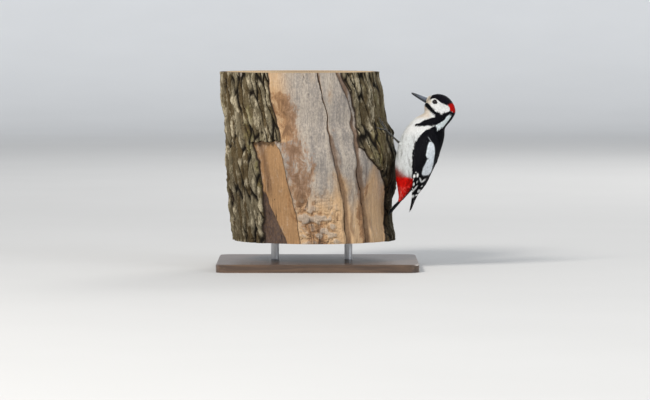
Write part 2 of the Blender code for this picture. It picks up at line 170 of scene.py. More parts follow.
def latticeNoise(points, seed):
    # smooth noise from -1 to 1, one cell to each unit
    cell = np.floor(points).astype(np.int64)
    part = points - cell
    part = part * part * (3 - 2 * part)
    total = np.zeros(points.shape[:-1])
    for corner in np.ndindex(2, 2, 2):
        at = cell + corner
        weight = np.prod(np.where(corner, part, 1 - part), axis=-1)
        total += cellLuck(at[..., 0], at[..., 1], at[..., 2], seed) * weight
    return total * 2 - 1


def ringCells(turn, height, around, tall, seed):
    # cells of uneven shape, so many around the trunk: how far a point is inside its own,
    # from 0 on the border to about 1, and the cell's number
    a, b = turn / (2 * math.pi) * around, height / tall
    column, row = np.floor(a).astype(np.int64), np.floor(b).astype(np.int64)
    nearest, second, luck = (np.full(a.shape, value) for value in (9.0, 9.0, 0.0))
    for step, rise in np.ndindex(3, 3):
        ca, cb = column + step - 1, row + rise - 1
        shiftA, shiftB = (cellLuck(ca % around, cb, k, seed) - 0.5 for k in (1, 2))
        away = np.hypot(ca + 0.5 + 0.75 * shiftA - a, cb + 0.5 + 0.85 * shiftB - b)
        second = np.minimum(second, np.maximum(nearest, away))
        luck = np.where(away < nearest, cellLuck(ca % around, cb, 3, seed), luck)
        nearest = np.minimum(nearest, away)
    return second - nearest, luck


def fractal(points, cells, octaves, seed):
    # noise of several sizes, the largest as big as cells in millimetres
    scaled = points / np.array(cells, float)
    return sum(latticeNoise(scaled * 2**k, seed + k) / 2**k for k in range(octaves)) / 1.6


def spline(rows, place):
    # smooth value of a table of rows at real row numbers
    table = np.array([list(row) for row in rows], float)
    place = np.asarray(place, float)
    i = np.clip(place.astype(int), 0, len(table) - 2)
    f = (place - i)[..., None]
    a, b, c, d = (table[np.clip(i + k, 0, len(table) - 1)] for k in (-1, 0, 1, 2))
    value = 2 * b + (c - a) * f + (2 * a - 5 * b + 4 * c - d) * f**2 + (3 * b - a - 3 * c + d) * f**3
    return np.moveaxis(value / 2, -1, 0)


def byRow(table, place):
    # a plain number, or a table of (row number, value) read at a place
    return np.interp(place, *np.array(table).T) if isinstance(table, tuple) else table


def gridFaces(rows, columns, wraps=False):
    i, j = np.meshgrid(np.arange(rows - 1), np.arange(columns - (0 if wraps else 1)), indexing="ij")
    here, beside = i * columns + j, i * columns + (j + 1) % columns
    return np.stack([here, beside, beside + columns, here + columns], -1).reshape(-1, 4)


def closed(points, ends=None):
    # a grid of points that wraps round, with one point more that closes it at each end, and its triangles
    rows, columns = points.shape[:2]
    ends = points[[0, -1]].mean(axis=1) if ends is None else ends
    grid = gridFaces(rows, columns, True)
    here = np.arange(columns)
    beside = (here + 1) % columns
    total = rows * columns
    last = total - columns
    start = np.stack([beside, here, np.full(columns, total)], -1)
    end = np.stack([last + here, last + beside, np.full(columns, total + 1)], -1)
    faces = np.concatenate([grid[:, [0, 1, 2]], grid[:, [0, 2, 3]], start, end])
    return np.concatenate([points.reshape(-1, 3), ends]), faces


def paintPoints(mesh, name, values):
    # what the looks read on each point: a colour as the tint, or three numbers
    values = np.asarray(values, float).reshape(-1, 3)
    kind, field = "FLOAT_VECTOR", "vector"
    if name == "tint":
        kind, field = "FLOAT_COLOR", "color"
        values = np.concatenate([values, np.ones((len(values), 1))], axis=1)
    mesh.attributes.new(name, kind, "POINT").data.foreach_set(field, values.ravel())


def addObject(name, mesh, look, replaced=(), rides=True):
    mesh.shade_smooth()
    mesh.materials.clear()
    mesh.materials.append(look.material)
    piece = bpy.data.objects.new(name, mesh)
    bpy.context.scene.collection.objects.link(piece)
    if rides:
        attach(piece, "root")
    if replaced:
        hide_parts(*replaced)
    return piece


def addPiece(name, points, faces, look, replaced=(), marks=None, places=None, rides=True):
    # a piece of the model from arrays: points in metres, faces, and what is painted on its points
    points = np.asarray(points, float).reshape(-1, 3)
    faces = np.asarray(faces, int)
    mesh = bpy.data.meshes.new(name)
    mesh.vertices.add(len(points))
    mesh.vertices.foreach_set("co", points.ravel())
    mesh.loops.add(faces.size)
    mesh.loops.foreach_set("vertex_index", faces.ravel())
    mesh.polygons.add(len(faces))
    mesh.polygons.foreach_set("loop_start", np.arange(0, faces.size, faces.shape[1]))
    mesh.update(calc_edges=True)
    for key, values in (marks or {}).items():
        paintPoints(mesh, key, values)
    if places is not None:
        layer = mesh.uv_layers.new(name="OFBake")
        layer.uv.foreach_set("vector", places.reshape(-1, 2)[faces.ravel()].ravel())
    mesh.validate()
    return addObject(name, mesh, look, replaced, rides)


def joined(parts):
    # several (points, faces, ...) as one, each further entry an array for each point
    starts = np.cumsum([0] + [len(part[0]) for part in parts[:-1]])
    faces = np.concatenate([part[1] + start for part, start in zip(parts, starts)])
    rest = [np.concatenate([part[k] for part in parts]) for k in range(2, len(parts[0]))]
    return [np.concatenate([part[0] for part in parts]), faces] + rest


# Where the bird sits: its drawing is in millimetres, x out of the trunk, y to its right, z up
birdPlace = {"tailTip": (0.105, -0.036, 0.0795), "turn": math.radians(10)}


def toWorld(points):
    x, y, z = np.moveaxis(np.asarray(points, float) / 1000, -1, 0)
    c, s = math.cos(birdPlace["turn"]), math.sin(birdPlace["turn"])
    return np.stack([x * c + y * s, y * c - x * s, z], -1) + birdPlace["tailTip"]


def toBird(points):
    x, y, z = np.moveaxis(points - birdPlace["tailTip"], -1, 0) * 1000
    c, s = math.cos(birdPlace["turn"]), math.sin(birdPlace["turn"])
    return np.stack([x * c - y * s, x * s + y * c, z], -1)


# Camera, studio and floor
studio = {
    "lens": 200.0,
    "distance": 5.42,
    "elevation": 3.0,
    "aim": (0.0109, 0.0, 0.1013),
    "sky": (0.88, 0.93, 1.0),
    "skyStrength": 0.60,
    "floorColour": (0.52, 0.516, 0.508),
    "wallColour": (0.92, 0.92, 0.915),
    "floorReach": 6.0,          # flat this far out, then rising gently all round
    "wallReach": 11.0,
    "wallHeight": 3.4,
    "fade": (4.5, 8.5),         # from the floor's colour to the wall's
    "rings": 40,
    "sides": 96,
    "lookAt": (0.0, 0.0, 0.15),     # what the lamps point at
}
lamps = (
    # name, place, size, power, colour
    ("key", (-2.4, -3.2, 3.2), 1.3, 250.0, (1.0, 0.96, 0.90)),
    ("fill", (3.4, -2.6, 1.6), 2.2, 60.0, (0.90, 0.95, 1.0)),
    ("rim", (1.8, 3.2, 2.6), 1.6, 60.0, (1.0, 0.98, 0.95)),
    ("backdrop", (0.0, 2.0, 4.0), 3.0, 60.0, (1.0, 0.99, 0.97)),
)
lampAims = {"backdrop": (0.0, 10.5, 2.4)}


def addAimed(name, data, place, target):
    # a camera or a lamp at a place, turned to look at its target
    holder = bpy.data.objects.new(name, data)
    holder.location = place
    holder.rotation_euler = (Vector(target) - holder.location).to_track_quat("-Z", "Y").to_euler()
    bpy.context.scene.collection.objects.link(holder)
    return holder


def makeStudio():
    camera = bpy.data.cameras.new("camera")
    camera.lens = studio["lens"]
    camera.clip_end = 60.0
    tilt = math.radians(studio["elevation"])
    place = Vector(studio["aim"]) + studio["distance"] * Vector((0.0, -math.cos(tilt), math.sin(tilt)))
    bpy.context.scene.camera = addAimed("camera", camera, place, studio["aim"])
    for name, place, size, power, colour in lamps:
        lamp = bpy.data.lights.new(name, "AREA")
        lamp.size, lamp.energy, lamp.color = size, power, colour
        addAimed(name, lamp, place, lampAims.get(name, studio["lookAt"]))
    world = bpy.data.worlds.new("studio")
    world.use_nodes = True
    world.node_tree.nodes["Background"].inputs["Color"].default_value = (*studio["sky"], 1.0)
    world.node_tree.nodes["Background"].inputs["Strength"].default_value = studio["skyStrength"]
    bpy.context.scene.world = world
    bpy.context.scene.view_settings.view_transform = "Standard"


def makeFloor():
    look = Look("paleFloor", {"Roughness": 0.9})
    speck = look.noise(look.place(), 3.0, 2.0)
    away = look.node("VectorMath", {"operation": "LENGTH"}, {0: look.place()}, out=1)
    colour = look.mix(away.clip(*studio["fade"]), studio["floorColour"], studio["wallColour"])
    look.set({"Base Color": look.shade(colour, 0.97 + 0.06 * speck)})
    rings = []
    for share in np.linspace(0.02, 1.0, studio["rings"]):
        reach = studio["wallReach"] * share
        rise = max(reach - studio["floorReach"], 0.0) / (studio["wallReach"] - studio["floorReach"])
        rings.append((reach, studio["wallHeight"] * rise**2.2))
    sides = studio["sides"]
    turn = np.linspace(0, 2 * math.pi, sides, endpoint=False)
    points = [[(r * math.cos(a), r * math.sin(a), z) for a in turn] for r, z in rings]
    floor = addPiece("floor", points, gridFaces(len(rings), sides, True)[:, ::-1], look, rides=False)
    middle = addPiece("floor_middle", points[0], [list(range(sides))[::-1]], look, rides=False)


makeStudio()
makeFloor()
print("studio ready")

# The cut length of trunk
trunk = {
    "foot": 42.0,               # height of its lower end above the table
    "height": 252.0,
    "shift": -18.0,
    "profile": (                # height, centre offset, radius
        (0, 12.8, 122.2), (30, 9, 121.5), (60, 6.5, 122.5), (90, 6.6, 125.4), (120, 6.9, 127.1),
        (157, 2.1, 122.9), (180, -2.1, 119.6), (217, -5.7, 122.2), (252, -9.2, 119.7),
    ),
    "bumps": (                  # size, angle, spread, height, spread
        (5.0, 0.40, 0.26, 152.0, 26.0),     # under the higher foot
        (-2.5, 0.31, 0.20, 36.0, 24.0),     # behind the tail
        (8.0, -0.06, 0.16, 163.0, 30.0),    # ribs on the far side of the feet
        (5.0, -0.06, 0.16, 84.0, 24.0),
    ),
    "columns": (640, 320),      # on the front half and on the back half
    "rows": 301,
    "twist": 0.0011,            # radians that the grain winds round in a millimetre of height
    "barkThickness": 8.0,
    "splits": (1.2, 3.6, 4.95),     # turns where the bark is cut into pieces
    "endRings": 46,             # rows of points on a sawn end
    "pith": (0.012, 0.009, 0.0),    # how far it lies from the middle, in metres
    "ringReach": 0.122,         # how far the year rings reach, in metres
    "plates": (72, 78.0),       # number round the trunk, height of one
    "furrowDepth": 6.5,
    "calm": (0.25, 0.36),       # smoother bark beside the bird: angle, spread
    # edges of the bare wood, as (angle in degrees, height)
    "bareLeft": ((129, 5), (127, 35), (125.7, 62), (126, 80), (127.6, 107), (129.8, 134), (133.2, 149),
                 (110.4, 153), (109.9, 170), (112.3, 193), (113, 214), (113, 252)),
    "bareRight": ((26, 2), (18, 32), (16, 50), (16.8, 68), (24, 87), (29.9, 105), (44, 124), (46, 136),
                  (50.5, 142), (49.9, 160), (48.4, 178), (49.6, 196), (50.6, 214), (53.8, 232), (58, 252)),
    "strip": ((100.3, 6), (100.5, 27), (101.6, 45), (103.6, 68), (106.1, 90), (108.2, 108), (109.9, 125),
              (111.4, 139), (116, 152)),    # right edge of the tan strip of wood
    # line of a painted cast shadow across the tan strip, as (angle in degrees, height)
    "shade": ((116.5, 18), (118.3, 53), (121.4, 89), (125.1, 125), (127.5, 150)),
    "rot": ((110, 0), (112.5, 15), (117, 38), (120.5, 55), (124.5, 75), (130, 90)),
    "mottle": ((90, 0), (95, 60), (99.5, 128), (102.5, 200), (106, 250)),
    "slots": ((139.5, 258.0, 1.3, 24.0), (166.0, 54.0, 4.5, 24.0)),     # wood seen through the left bark
    "channels": (               # depth, half width at the foot and at the top, then (angle, height) along it
        (4.2, 4.6, 1.3, ((63.2, 0), (62.2, 27), (63, 62), (66.6, 89), (71.3, 116), (72.3, 143), (73, 164),
                         (71.8, 186), (73.7, 214), (76.2, 252))),
        (3.4, 5.2, 3.0, ((45.1, 0), (45.1, 16), (45.3, 52), (48.6, 80), (52.3, 107), (52.9, 134), (51.6, 160),
                         (50.9, 185), (53.4, 210), (56.0, 232), (59.6, 252))),
    ),
}


def trunkStation(height):
    table = np.array(trunk["profile"], float)
    i = np.clip(np.searchsorted(table[:, 0], height, side="left") - 1, 0, len(table) - 2)
    share = softStep(height, table[i, 0], table[i + 1, 0])
    centre = trunk["shift"] + blend(table[i, 1], table[i + 1, 1], share)
    return centre, blend(table[i, 2], table[i + 1, 2], share)


def signedTurn(angle):
    # the same angle, between half a turn back and half a turn on
    return (angle + math.pi) % (2 * math.pi) - math.pi


def barkBumps(angle, height):
    turn = signedTurn(angle)
    return sum(
        size * np.exp(-(((turn - atAngle) / angleSpread) ** 2) - ((height - atHeight) / heightSpread) ** 2)
        for size, atAngle, angleSpread, atHeight, heightSpread in trunk["bumps"]
    )


def alongHeight(line, height):
    values, heights = zip(*line)
    return np.interp(height, heights, values)


def layered(value, count):
    # a smooth value turned into flat steps with short risers
    level = value * count
    floor = np.floor(level)
    return (floor + softStep(level - floor, 0.72, 1.0)) / count


def bark(angle, height, q):
    # height of the bark over the trunk's plain form, how deep in a furrow or crack (which the looks paint as
    # shade), its plates and their flakes
    sway = np.radians(3.6 * fractal(q, (24, 24, 60), 3, 1))
    lean = angle - trunk["twist"] * (height - 126)
    inside, plate = ringCells(lean + sway, height + 14 * fractal(q, (16, 16, 40), 2, 5), *trunk["plates"], 3)
    wide = 0.34 + 0.14 * fractal(q, (30, 30, 50), 2, 41)
    top = softStep(inside, 0.0, wide) ** 0.5
    flake = layered(0.5 + 0.75 * fractal(q, (5.5, 5.5, 15), 4, 7), 5)
    split = 1 - softStep(np.abs(fractal(q, (5.5, 5.5, 34), 3, 8)), 0.0, 0.055)
    across = 1 - softStep(np.abs(fractal(q, (12, 12, 9), 3, 9)), 0.0, 0.045)
    crack = np.maximum(split, 0.7 * across * softStep(fractal(q, (15, 15, 15), 2, 13), -0.15, 0.2))
    rough = fractal(q, (2.2, 2.2, 7), 3, 31)
    calmAngle, calmSpread = trunk["calm"]
    calm = bell(signedTurn(angle - calmAngle), calmSpread)
    furrow = trunk["furrowDepth"] * (1 - 0.55 * calm) * (0.85 + 0.5 * fractal(q, (40, 40, 90), 2, 43))
    fine = fractal(q, (1.1, 1.1, 2.6), 2, 33)
    relief = 1.6 * (plate - 0.55) + 3.6 * (flake - 0.55) - 1.9 * crack + 1.2 * rough + 0.6 * fine
    relief = relief * (0.4 + 0.6 * top)
    relief = np.minimum(relief * (1 - 0.55 * calm), 1.6 - 1.3 * calm)
    return -furrow * (1 - top) + relief, np.maximum(1 - top, 0.7 * crack), plate, np.clip(flake, 0, 1)


def bareWood(degrees, height, radius, q):
    # the same for the bare wood: its height, painted shade in its cracks and hollows, how much is brown
    # channel, and where it is gnawed
    fibre = fractal(q, (1.6, 1.6, 46), 3, 51)
    wood = 1.3 * fractal(q, (22, 22, 110), 2, 61) + 0.22 * fibre + 0.45 * fractal(q, (6, 6, 20), 3, 71)
    hollowShade, brown = np.zeros(wood.shape), np.zeros(wood.shape)
    uneven = fractal(q, (26, 26, 34), 3, 79)
    for depth, wideFoot, wideTop, line in trunk["channels"]:
        off = np.radians(degrees - alongHeight(line, height)) * radius
        off = off + 2.4 * fractal(q, (10, 10, 24), 4, 81)
        wide = blend(wideFoot, wideTop, softStep(height, 70, 190)) * np.clip(1 + 1.3 * uneven, 0.35, 1.8)
        bed = np.exp(-np.abs(off / wide) ** 3)
        core = bell(off - 0.5 * wide, 0.7) * np.clip(0.75 + 1.2 * fractal(q, (14, 14, 26), 2, 83), 0.15, 1.2)
        lip = bell(off - 1.7 * wide, 3.2) + bell(off + 1.8 * wide, 3.6)
        wood += 0.8 * lip - depth * (0.5 * bed + 0.6 * core)
        wood -= bed * 1.4 * np.abs(fractal(q, (4, 4, 20), 3, 84))
        patchy = np.clip(0.35 + 1.8 * fractal(q, (8, 8, 26), 3, 85), 0, 1)
        stained = bell(off + 0.5 * wide, 2.4 * wide) * patchy
        hollowShade, brown = np.maximum(hollowShade, core), np.maximum(brown, np.maximum(bed, 0.8 * stained))
    small = np.abs(fractal(q, (7, 7, 130), 2, 91))
    hair = (1 - softStep(small, 0.004, 0.030)) * softStep(fractal(q, (30, 30, 80), 2, 95), 0.10, 0.45)
    wood -= 0.7 * hair
    # splintered and gnawed low down
    gnawed = softStep(height, 104, 30) * softStep(degrees, 62, 74) * (1 - softStep(degrees, 98, 104))
    bite = np.clip(np.abs(fractal(q, (17, 17, 13), 4, 97)) * 2.6, 0, 1)
    chip = np.clip(np.abs(fractal(q, (7, 7, 5), 3, 98)) * 2.2, 0, 1)
    wood += gnawed * (2.6 * bite + 0.9 * chip - 1.6)
    # painted shade: in the hollows between bites and chips, in the channel cores and in the hairline cracks
    gnawedShade = 0.5 * (1 - softStep(bite, 0.0, 0.16)) + 0.2 * (1 - softStep(chip, 0.0, 0.2))
    hollowShade = np.maximum(np.maximum(hollowShade, 0.6 * hair), gnawed * gnawedShade)
    return wood - trunk["barkThickness"], np.clip(hollowShade, 0, 1), brown, gnawed * bite


def trunkSurface(angle, height):
    # radius of the trunk with its bark and bare wood, and what the looks need to know
    radius = trunkStation(height)[1]
    q = np.stack([radius * np.cos(angle), radius * np.sin(angle), height], -1)
    degrees = np.degrees(angle)
    ragged = 2.0 * fractal(q, (12, 12, 22), 3, 11) + 0.5 * fractal(q, (5, 5, 9), 2, 12)
    left, right = (alongHeight(trunk[key], height + 2 * ragged) for key in ("bareLeft", "bareRight"))
    bare = softStep(degrees + ragged, right - 1.3, right + 1.3)
    bare *= 1 - softStep(degrees + ragged, left - 0.8, left + 0.8)
    for middle, level, wide, tall in trunk["slots"]:
        slot = ((degrees + 0.3 * ragged - middle) / wide) ** 2 + ((height - level) / tall) ** 4
        bare = np.maximum(bare, 1 - softStep(slot, 0.8, 1.1))
    crust, furrow, plate, flake = bark(angle, height, q)
    wood, hollowShade, brown, bite = bareWood(degrees, height, radius, q)
    # the bark thins out and curls up a little where it has broken off
    edge = np.minimum(np.abs(degrees + ragged - left), np.abs(degrees + ragged - right))
    crust += 0.9 * bell(edge - 1.6, 1.1) - 1.0 * bell(edge, 0.8)

    off = degrees + 0.4 * ragged
    stripEdge = alongHeight(trunk["strip"], height)
    strip = softStep(off, stripEdge - 0.7, stripEdge + 0.7) * softStep(height, 158, 150)
    step = bell(off - stripEdge, 0.55) * softStep(height, 150, 140)
    wood -= 1.4 * strip + 0.5 * step
    # painted shade along the step at the strip's edge
    hollowShade = np.maximum(hollowShade, 0.55 * step)
    # a painted cast shadow across the tan strip
    shade = bell(degrees - alongHeight(trunk["shade"], height), 2.6) * strip * softStep(height, 60, 90)
    rotEdge = alongHeight(trunk["rot"], height) + 1.6 * fractal(q, (9, 9, 16), 3, 14)
    rot = softStep(degrees, rotEdge - 0.5, rotEdge + 0.9) * softStep(height, 84, 70)
    wood -= rot * (0.8 + 1.6 * np.abs(fractal(q, (6, 6, 14), 3, 15)))
    warm = bell(left - degrees, 16) * softStep(height, 90, 140)
    warm += softStep(height + 55 * fractal(q, (26, 26, 90), 4, 16), 128, 45)
    mottle = bell(degrees - alongHeight(trunk["mottle"], height), 11) * softStep(height, 240, 200)
    mottle += 0.9 * bell(degrees - 49, 6) * softStep(height, 130, 70)
    # painted shade on the bark turned from the light: right of the bare wood low down, and round the far
    # side; the left bark is also made darker low down
    paintedShade = softStep(degrees, 34, 20) * softStep(height, 165, 100) + softStep(degrees, 330, 350)
    paintedShade += 0.36 * softStep(degrees - left, 0, 4) * softStep(height, 160, 70)
    # painted shade travels in three marks: the second number of trunk (furrows, cracks and hollows), the
    # third of plate (bark turned from the light, and darker low on the left) and the first of stain (a cast
    # shadow across the strip)
    marks = {
        "trunk": (bare, blend(furrow, hollowShade, bare), strip),
        "plate": (plate, flake, np.clip(paintedShade, 0, 1)),
        "wood": (np.clip(warm, 0, 1), np.clip(mottle, 0, 1), np.clip(brown, 0, 1)),
        "stain": (shade, bite, rot),
    }
    return radius + blend(crust, wood, bare) + barkBumps(angle, height), marks


def onTrunk(angle, height, radius):
    x, y = trunkStation(height)[0] + radius * np.cos(angle), -radius * np.sin(angle)
    return np.stack([x, y, trunk["foot"] + height], -1) / 1000


barkPaint = {
    "plate": (0.092, 0.064, 0.030),
    "plateGrey": (0.185, 0.155, 0.100),
    "plateLight": (0.50, 0.430, 0.300),
    # painted shade deep in the furrows and cracks
    "furrow": (0.012, 0.009, 0.006),
    "lichen": (0.165, 0.140, 0.042),
    "edge": (0.024, 0.015, 0.010),
}
woodPaint = {
    "grey": (0.215, 0.190, 0.170),
    "pale": (0.365, 0.313, 0.258),
    "warm": (0.460, 0.300, 0.165),
    "strip": (0.290, 0.165, 0.076),
    "orange": (0.200, 0.093, 0.036),
    "brown": (0.115, 0.060, 0.030),
    "rot": (0.060, 0.040, 0.034),
    "stain": (0.085, 0.062, 0.048),
    # painted shade in cracks, channel cores and hollows
    "crack": (0.018, 0.011, 0.008),
}


def barkLook():
    look = Look("furrowedBark", {"Roughness": 0.88, "Specular IOR Level": 0.12})
    bare, cavityShade = look.parts("trunk")[:2]
    plate, flake, paintedShade = look.parts("plate")
    point = look.place((1.0, 1.0, 0.4))
    broad, middle = look.noise(point, 20.0, 4.0), look.noise(point, 150.0, 6.0, 0.7)
    grit = look.noise(look.place((1.0, 1.0, 0.6)), 520.0, 6.0, 0.72)
    colour = look.layers(
        barkPaint["plate"],
        ((plate * 0.5 + middle * 0.8).clip(0.40, 0.95), barkPaint["plateGrey"]),
        ((flake * 0.55 + middle * 0.9).clip(0.68, 0.98) * 0.85, barkPaint["plateLight"]),
        (broad.clip(0.52, 0.70) * middle.clip(0.42, 0.62) * 0.7, barkPaint["lichen"]),
        # painted shade in the furrows and cracks
        (cavityShade.clip(0.12, 0.80), barkPaint["furrow"]),
        (bare.clip(0.05, 0.5), barkPaint["edge"]),
    )
    # painted shade where the bark is turned from the light, and darker low on the left
    value = (0.12 + 1.75 * grit) * (1 - paintedShade * 0.72)
    look.set({"Base Color": look.shade(colour, value), "Roughness": 0.78 + 0.18 * middle})
    look.bump(grit + middle * 0.8, 0.0018)
    return look


def woodLook():
    look = Look("bareWood", {"Roughness": 0.62, "Specular IOR Level": 0.2})
    bare, cavityShade, strip = look.parts("trunk")
    warm, mottle, brown = look.parts("wood")
    shade, bite, rot = look.parts("stain")
    fibre = look.noise(look.place((1.0, 1.0, 0.03)), 620.0, 3.0, 0.6)
    streak = look.noise(look.place((1.0, 1.0, 0.10)), 70.0, 5.0, 0.65, 0.5)
    patch = look.noise(look.place((1.0, 1.0, 0.6)), 85.0, 7.0, 0.72, 0.6)
    cloud = look.noise(look.place((1.0, 1.0, 0.5)), 26.0, 5.0, 0.6)
    speck = look.noise(look.place((1.0, 1.0, 0.6)), 420.0, 4.0, 0.7)
    blotch = (patch - 0.5) * 2.4 + (cloud - 0.5) * 1.3 + (speck - 0.5) * 0.7 + (mottle - 0.50) * 0.78
    colour = look.layers(
        woodPaint["grey"],
        ((streak * 0.6 + speck * 0.4).clip(0.38, 0.62), woodPaint["pale"]),
        ((warm * 0.9 + cloud.clip(0.46, 0.70) * 0.5).clip(0.15, 1.05), woodPaint["warm"]),
        (strip, woodPaint["strip"]),
        (blotch.clip(-0.08, 0.30) * 0.72, woodPaint["orange"]),
        (blotch.clip(0.22, 0.62) * 0.75, woodPaint["brown"]),
        ((streak * 0.5 + speck * 0.5 + blotch * -0.15).clip(0.56, 0.72) * 0.5, woodPaint["pale"]),
        # painted cast shadow across the tan strip
        (shade * 0.75, woodPaint["brown"]),
        (brown.clip(0.10, 0.90) * (0.25 + 1.1 * streak), woodPaint["brown"]),
        (bite.clip(0.35, 0.95) * 0.6, woodPaint["pale"]),
        (rot.clip(0.1, 0.9) * (0.35 + 1.1 * speck), woodPaint["rot"]),
        (speck.clip(0.64, 0.76) * 0.6, woodPaint["stain"]),
        # painted shade in cracks, channel cores and hollows
        (cavityShade.clip(0.10, 0.70), woodPaint["crack"]),
        ((1 - bare).clip(0.10, 0.5), barkPaint["edge"]),
    )
    value = (0.52 + 0.84 * fibre) * (0.70 + 0.72 * speck)
    look.set({"Base Color": look.shade(colour, value), "Roughness": 0.50 + 0.25 * streak})
    look.bump(fibre * 0.8 + speck * 0.8, 0.0006)
    return look


endPaint = {
    "early": (0.50, 0.36, 0.21),
    "late": (0.27, 0.165, 0.085),
    "bark": (0.085, 0.055, 0.034),
    "rings": 34,
}


def endLook():
    # sawn wood: year rings round the pith, rays across them, darker toward the bark
    look = Look("sawnEnd", {"Roughness": 0.85, "Specular IOR Level": 0.12})
    ring, turn, edge = look.parts("ring")
    wobble = look.noise(look.place(), 26.0, 3.0)
    fine = look.noise(look.place(), 700.0, 3.0)
    phase = (ring + 0.03 * wobble) * (endPaint["rings"] * 2 * math.pi)
    late = (phase.wave() * 0.5 + 0.5) ** 3.0
    rays = look.noise(look.spun(turn * 60.0, ring * 2.0), 1.0, 2.0)
    colour = look.mix(late, endPaint["early"], endPaint["late"])
    colour = look.mix(1 - ring.clip(0.18, 0.62), colour, look.shade(colour, 0.62))
    colour = look.mix(edge, colour, endPaint["bark"])
    look.set({"Base Color": look.shade(colour, 0.66 + 0.34 * rays + 0.30 * fine)})
    look.bump(fine * 0.5 + late * 0.5, 0.0004)
    return look


def makeTrunkSides(points, marks, angle, columns):
    faces = gridFaces(trunk["rows"], columns, True)[:, ::-1]
    wood = marks["trunk"][faces, 0].mean(axis=1) > 0.5
    turn = angle.ravel()[faces].min(axis=1)
    right, left, back = trunk["splits"]
    barks = barkLook()
    pieces = (
        ("trunk_wood", wood, woodLook(), ("perch_log",)),
        ("trunk_bark_right", ~wood & (turn < right), barks, ()),
        ("trunk_bark_left", ~wood & (turn >= right) & (turn < left), barks, ()),
        ("trunk_bark_back", ~wood & (turn >= left) & (turn < back), barks, ()),
        ("trunk_bark_far", ~wood & (turn >= back), barks, ()),
    )
    for name, chosen, look, replaced in pieces:
        used, local = np.unique(faces[chosen], return_inverse=True)
        addPiece(name, points[used], local.reshape(-1, 4), look, replaced,
                 {key: values[used] for key, values in marks.items()})
        print(name, 2 * int(chosen.sum()), "triangles")


def makeTrunkEnd(name, rim, look, flipped):
    # rings of points from the rim in to the pith, closer together near the bark
    columns = len(rim)
    shares = np.linspace(1.0, 0.0, trunk["endRings"])[:-1] ** 0.8
    pith = rim.mean(axis=0) + trunk["pith"]
    disc = pith + (rim - pith) * shares[:, None, None]
    disc = np.concatenate([disc.reshape(-1, 3), [pith]])
    last = (len(shares) - 1) * columns
    k = np.arange(0, columns, 2)
    hub = (last + k, last + (k + 1) % columns, last + (k + 2) % columns, np.full_like(k, len(disc) - 1))
    faces = np.concatenate([gridFaces(len(shares), columns, True), np.stack(hub, -1)])
    away = disc - pith
    reach = np.linalg.norm(away, axis=1) / trunk["ringReach"]
    rind = np.concatenate([np.repeat(softStep(shares, 0.93, 0.955), columns), [0.0]])
    marks = np.stack([reach, np.arctan2(away[:, 1], away[:, 0]), rind], -1)
    addPiece(name, disc, faces[:, ::-1] if flipped else faces, look, marks={"ring": marks})


def makeTrunk():
    front, behind = trunk["columns"]
    turns = np.concatenate([
        np.linspace(0, math.pi, front, endpoint=False),
        np.linspace(math.pi, 2 * math.pi, behind, endpoint=False),
    ])
    angle, height = np.meshgrid(turns, np.linspace(0, trunk["height"], trunk["rows"]))
    radius, marks = trunkSurface(angle, height)
    points = onTrunk(angle, height, radius)
    marks = {key: np.stack(values, -1).reshape(-1, 3) for key, values in marks.items()}
    makeTrunkSides(points.reshape(-1, 3), marks, angle, len(turns))
    ends = endLook()
    makeTrunkEnd("trunk_end_top", points[-1], ends, False)
    makeTrunkEnd("trunk_end_foot", points[0], ends, True)


makeTrunk()
print("trunk made")

# The bird's body: sections across it as (back x, back z, front x, front z, half width)
bodySections = {
    "bill base": (59.4, 176.4, 58.2, 167.4, 4.4),
    "lores": (63.4, 178.9, 55.0, 164.9, 8.2),
    "eye": (70.0, 181.2, 54.8, 161.6, 11.8),
    "crown": (78.0, 181.7, 55.0, 158.2, 13.6),
    "hind crown": (88.5, 177.8, 54.9, 155.2, 14.6),
    "nape": (97.5, 167.8, 53.0, 152.6, 15.0),
    "hind neck": (100.7, 155.0, 49.0, 150.3, 15.8),
    "neck": (94.5, 143.2, 42.0, 146.4, 18.0),
    "neck base": (85.4, 131.5, 33.2, 138.4, 21.5),
    "shoulder": (84.0, 119.0, 24.6, 126.6, 24.5),
    "breast": (81.0, 105.0, 18.0, 112.5, 26.0),
    "back": (75.5, 90.0, 13.5, 94.5, 26.0),
    "belly": (67.0, 74.0, 11.0, 76.5, 24.0),
    "flank": (55.5, 60.0, 12.0, 58.5, 20.0),
    "rump": (43.5, 47.0, 14.6, 42.0, 15.5),
    "vent": (31.5, 34.5, 16.3, 29.5, 12.0),
    "covert tips": (22.2, 24.2, 15.2, 21.0, 9.8),
}
bodyRows = list(bodySections.values())

# Folded wing: front edge x, z, back edge x, z, side of front edge, of back edge, bulge
wingRows = (
    (55.4, 128.0, 69.0, 130.2, 21.3, 20.6, 1.4),
    (50.3, 120.3, 77.0, 120.3, 24.3, 19.4, 5.0),
    (45.7, 110.3, 79.0, 108.8, 25.8, 15.6, 7.4),
    (43.7, 99.3, 77.8, 96.0, 26.3, 12.4, 8.9),
    (43.1, 87.0, 74.8, 84.0, 26.1, 8.4, 9.6),
    (42.7, 75.0, 70.2, 74.0, 24.8, 5.2, 9.0),
    (41.8, 63.0, 65.0, 63.5, 21.8, 3.4, 7.0),
    (39.9, 51.0, 58.9, 51.0, 17.8, 2.8, 4.8),
    (38.5, 40.5, 51.8, 39.5, 13.4, 2.8, 3.0),
    (37.6, 31.0, 44.8, 30.0, 10.0, 3.2, 1.3),
    (36.0, 21.0, 40.0, 21.0, 7.8, 4.6, 0.3),
    (33.9, 12.0, 36.0, 11.6, 6.3, 5.0, 0.0),
    (32.2, 5.6, 32.7, 5.4, 5.5, 5.1, 0.0),
)

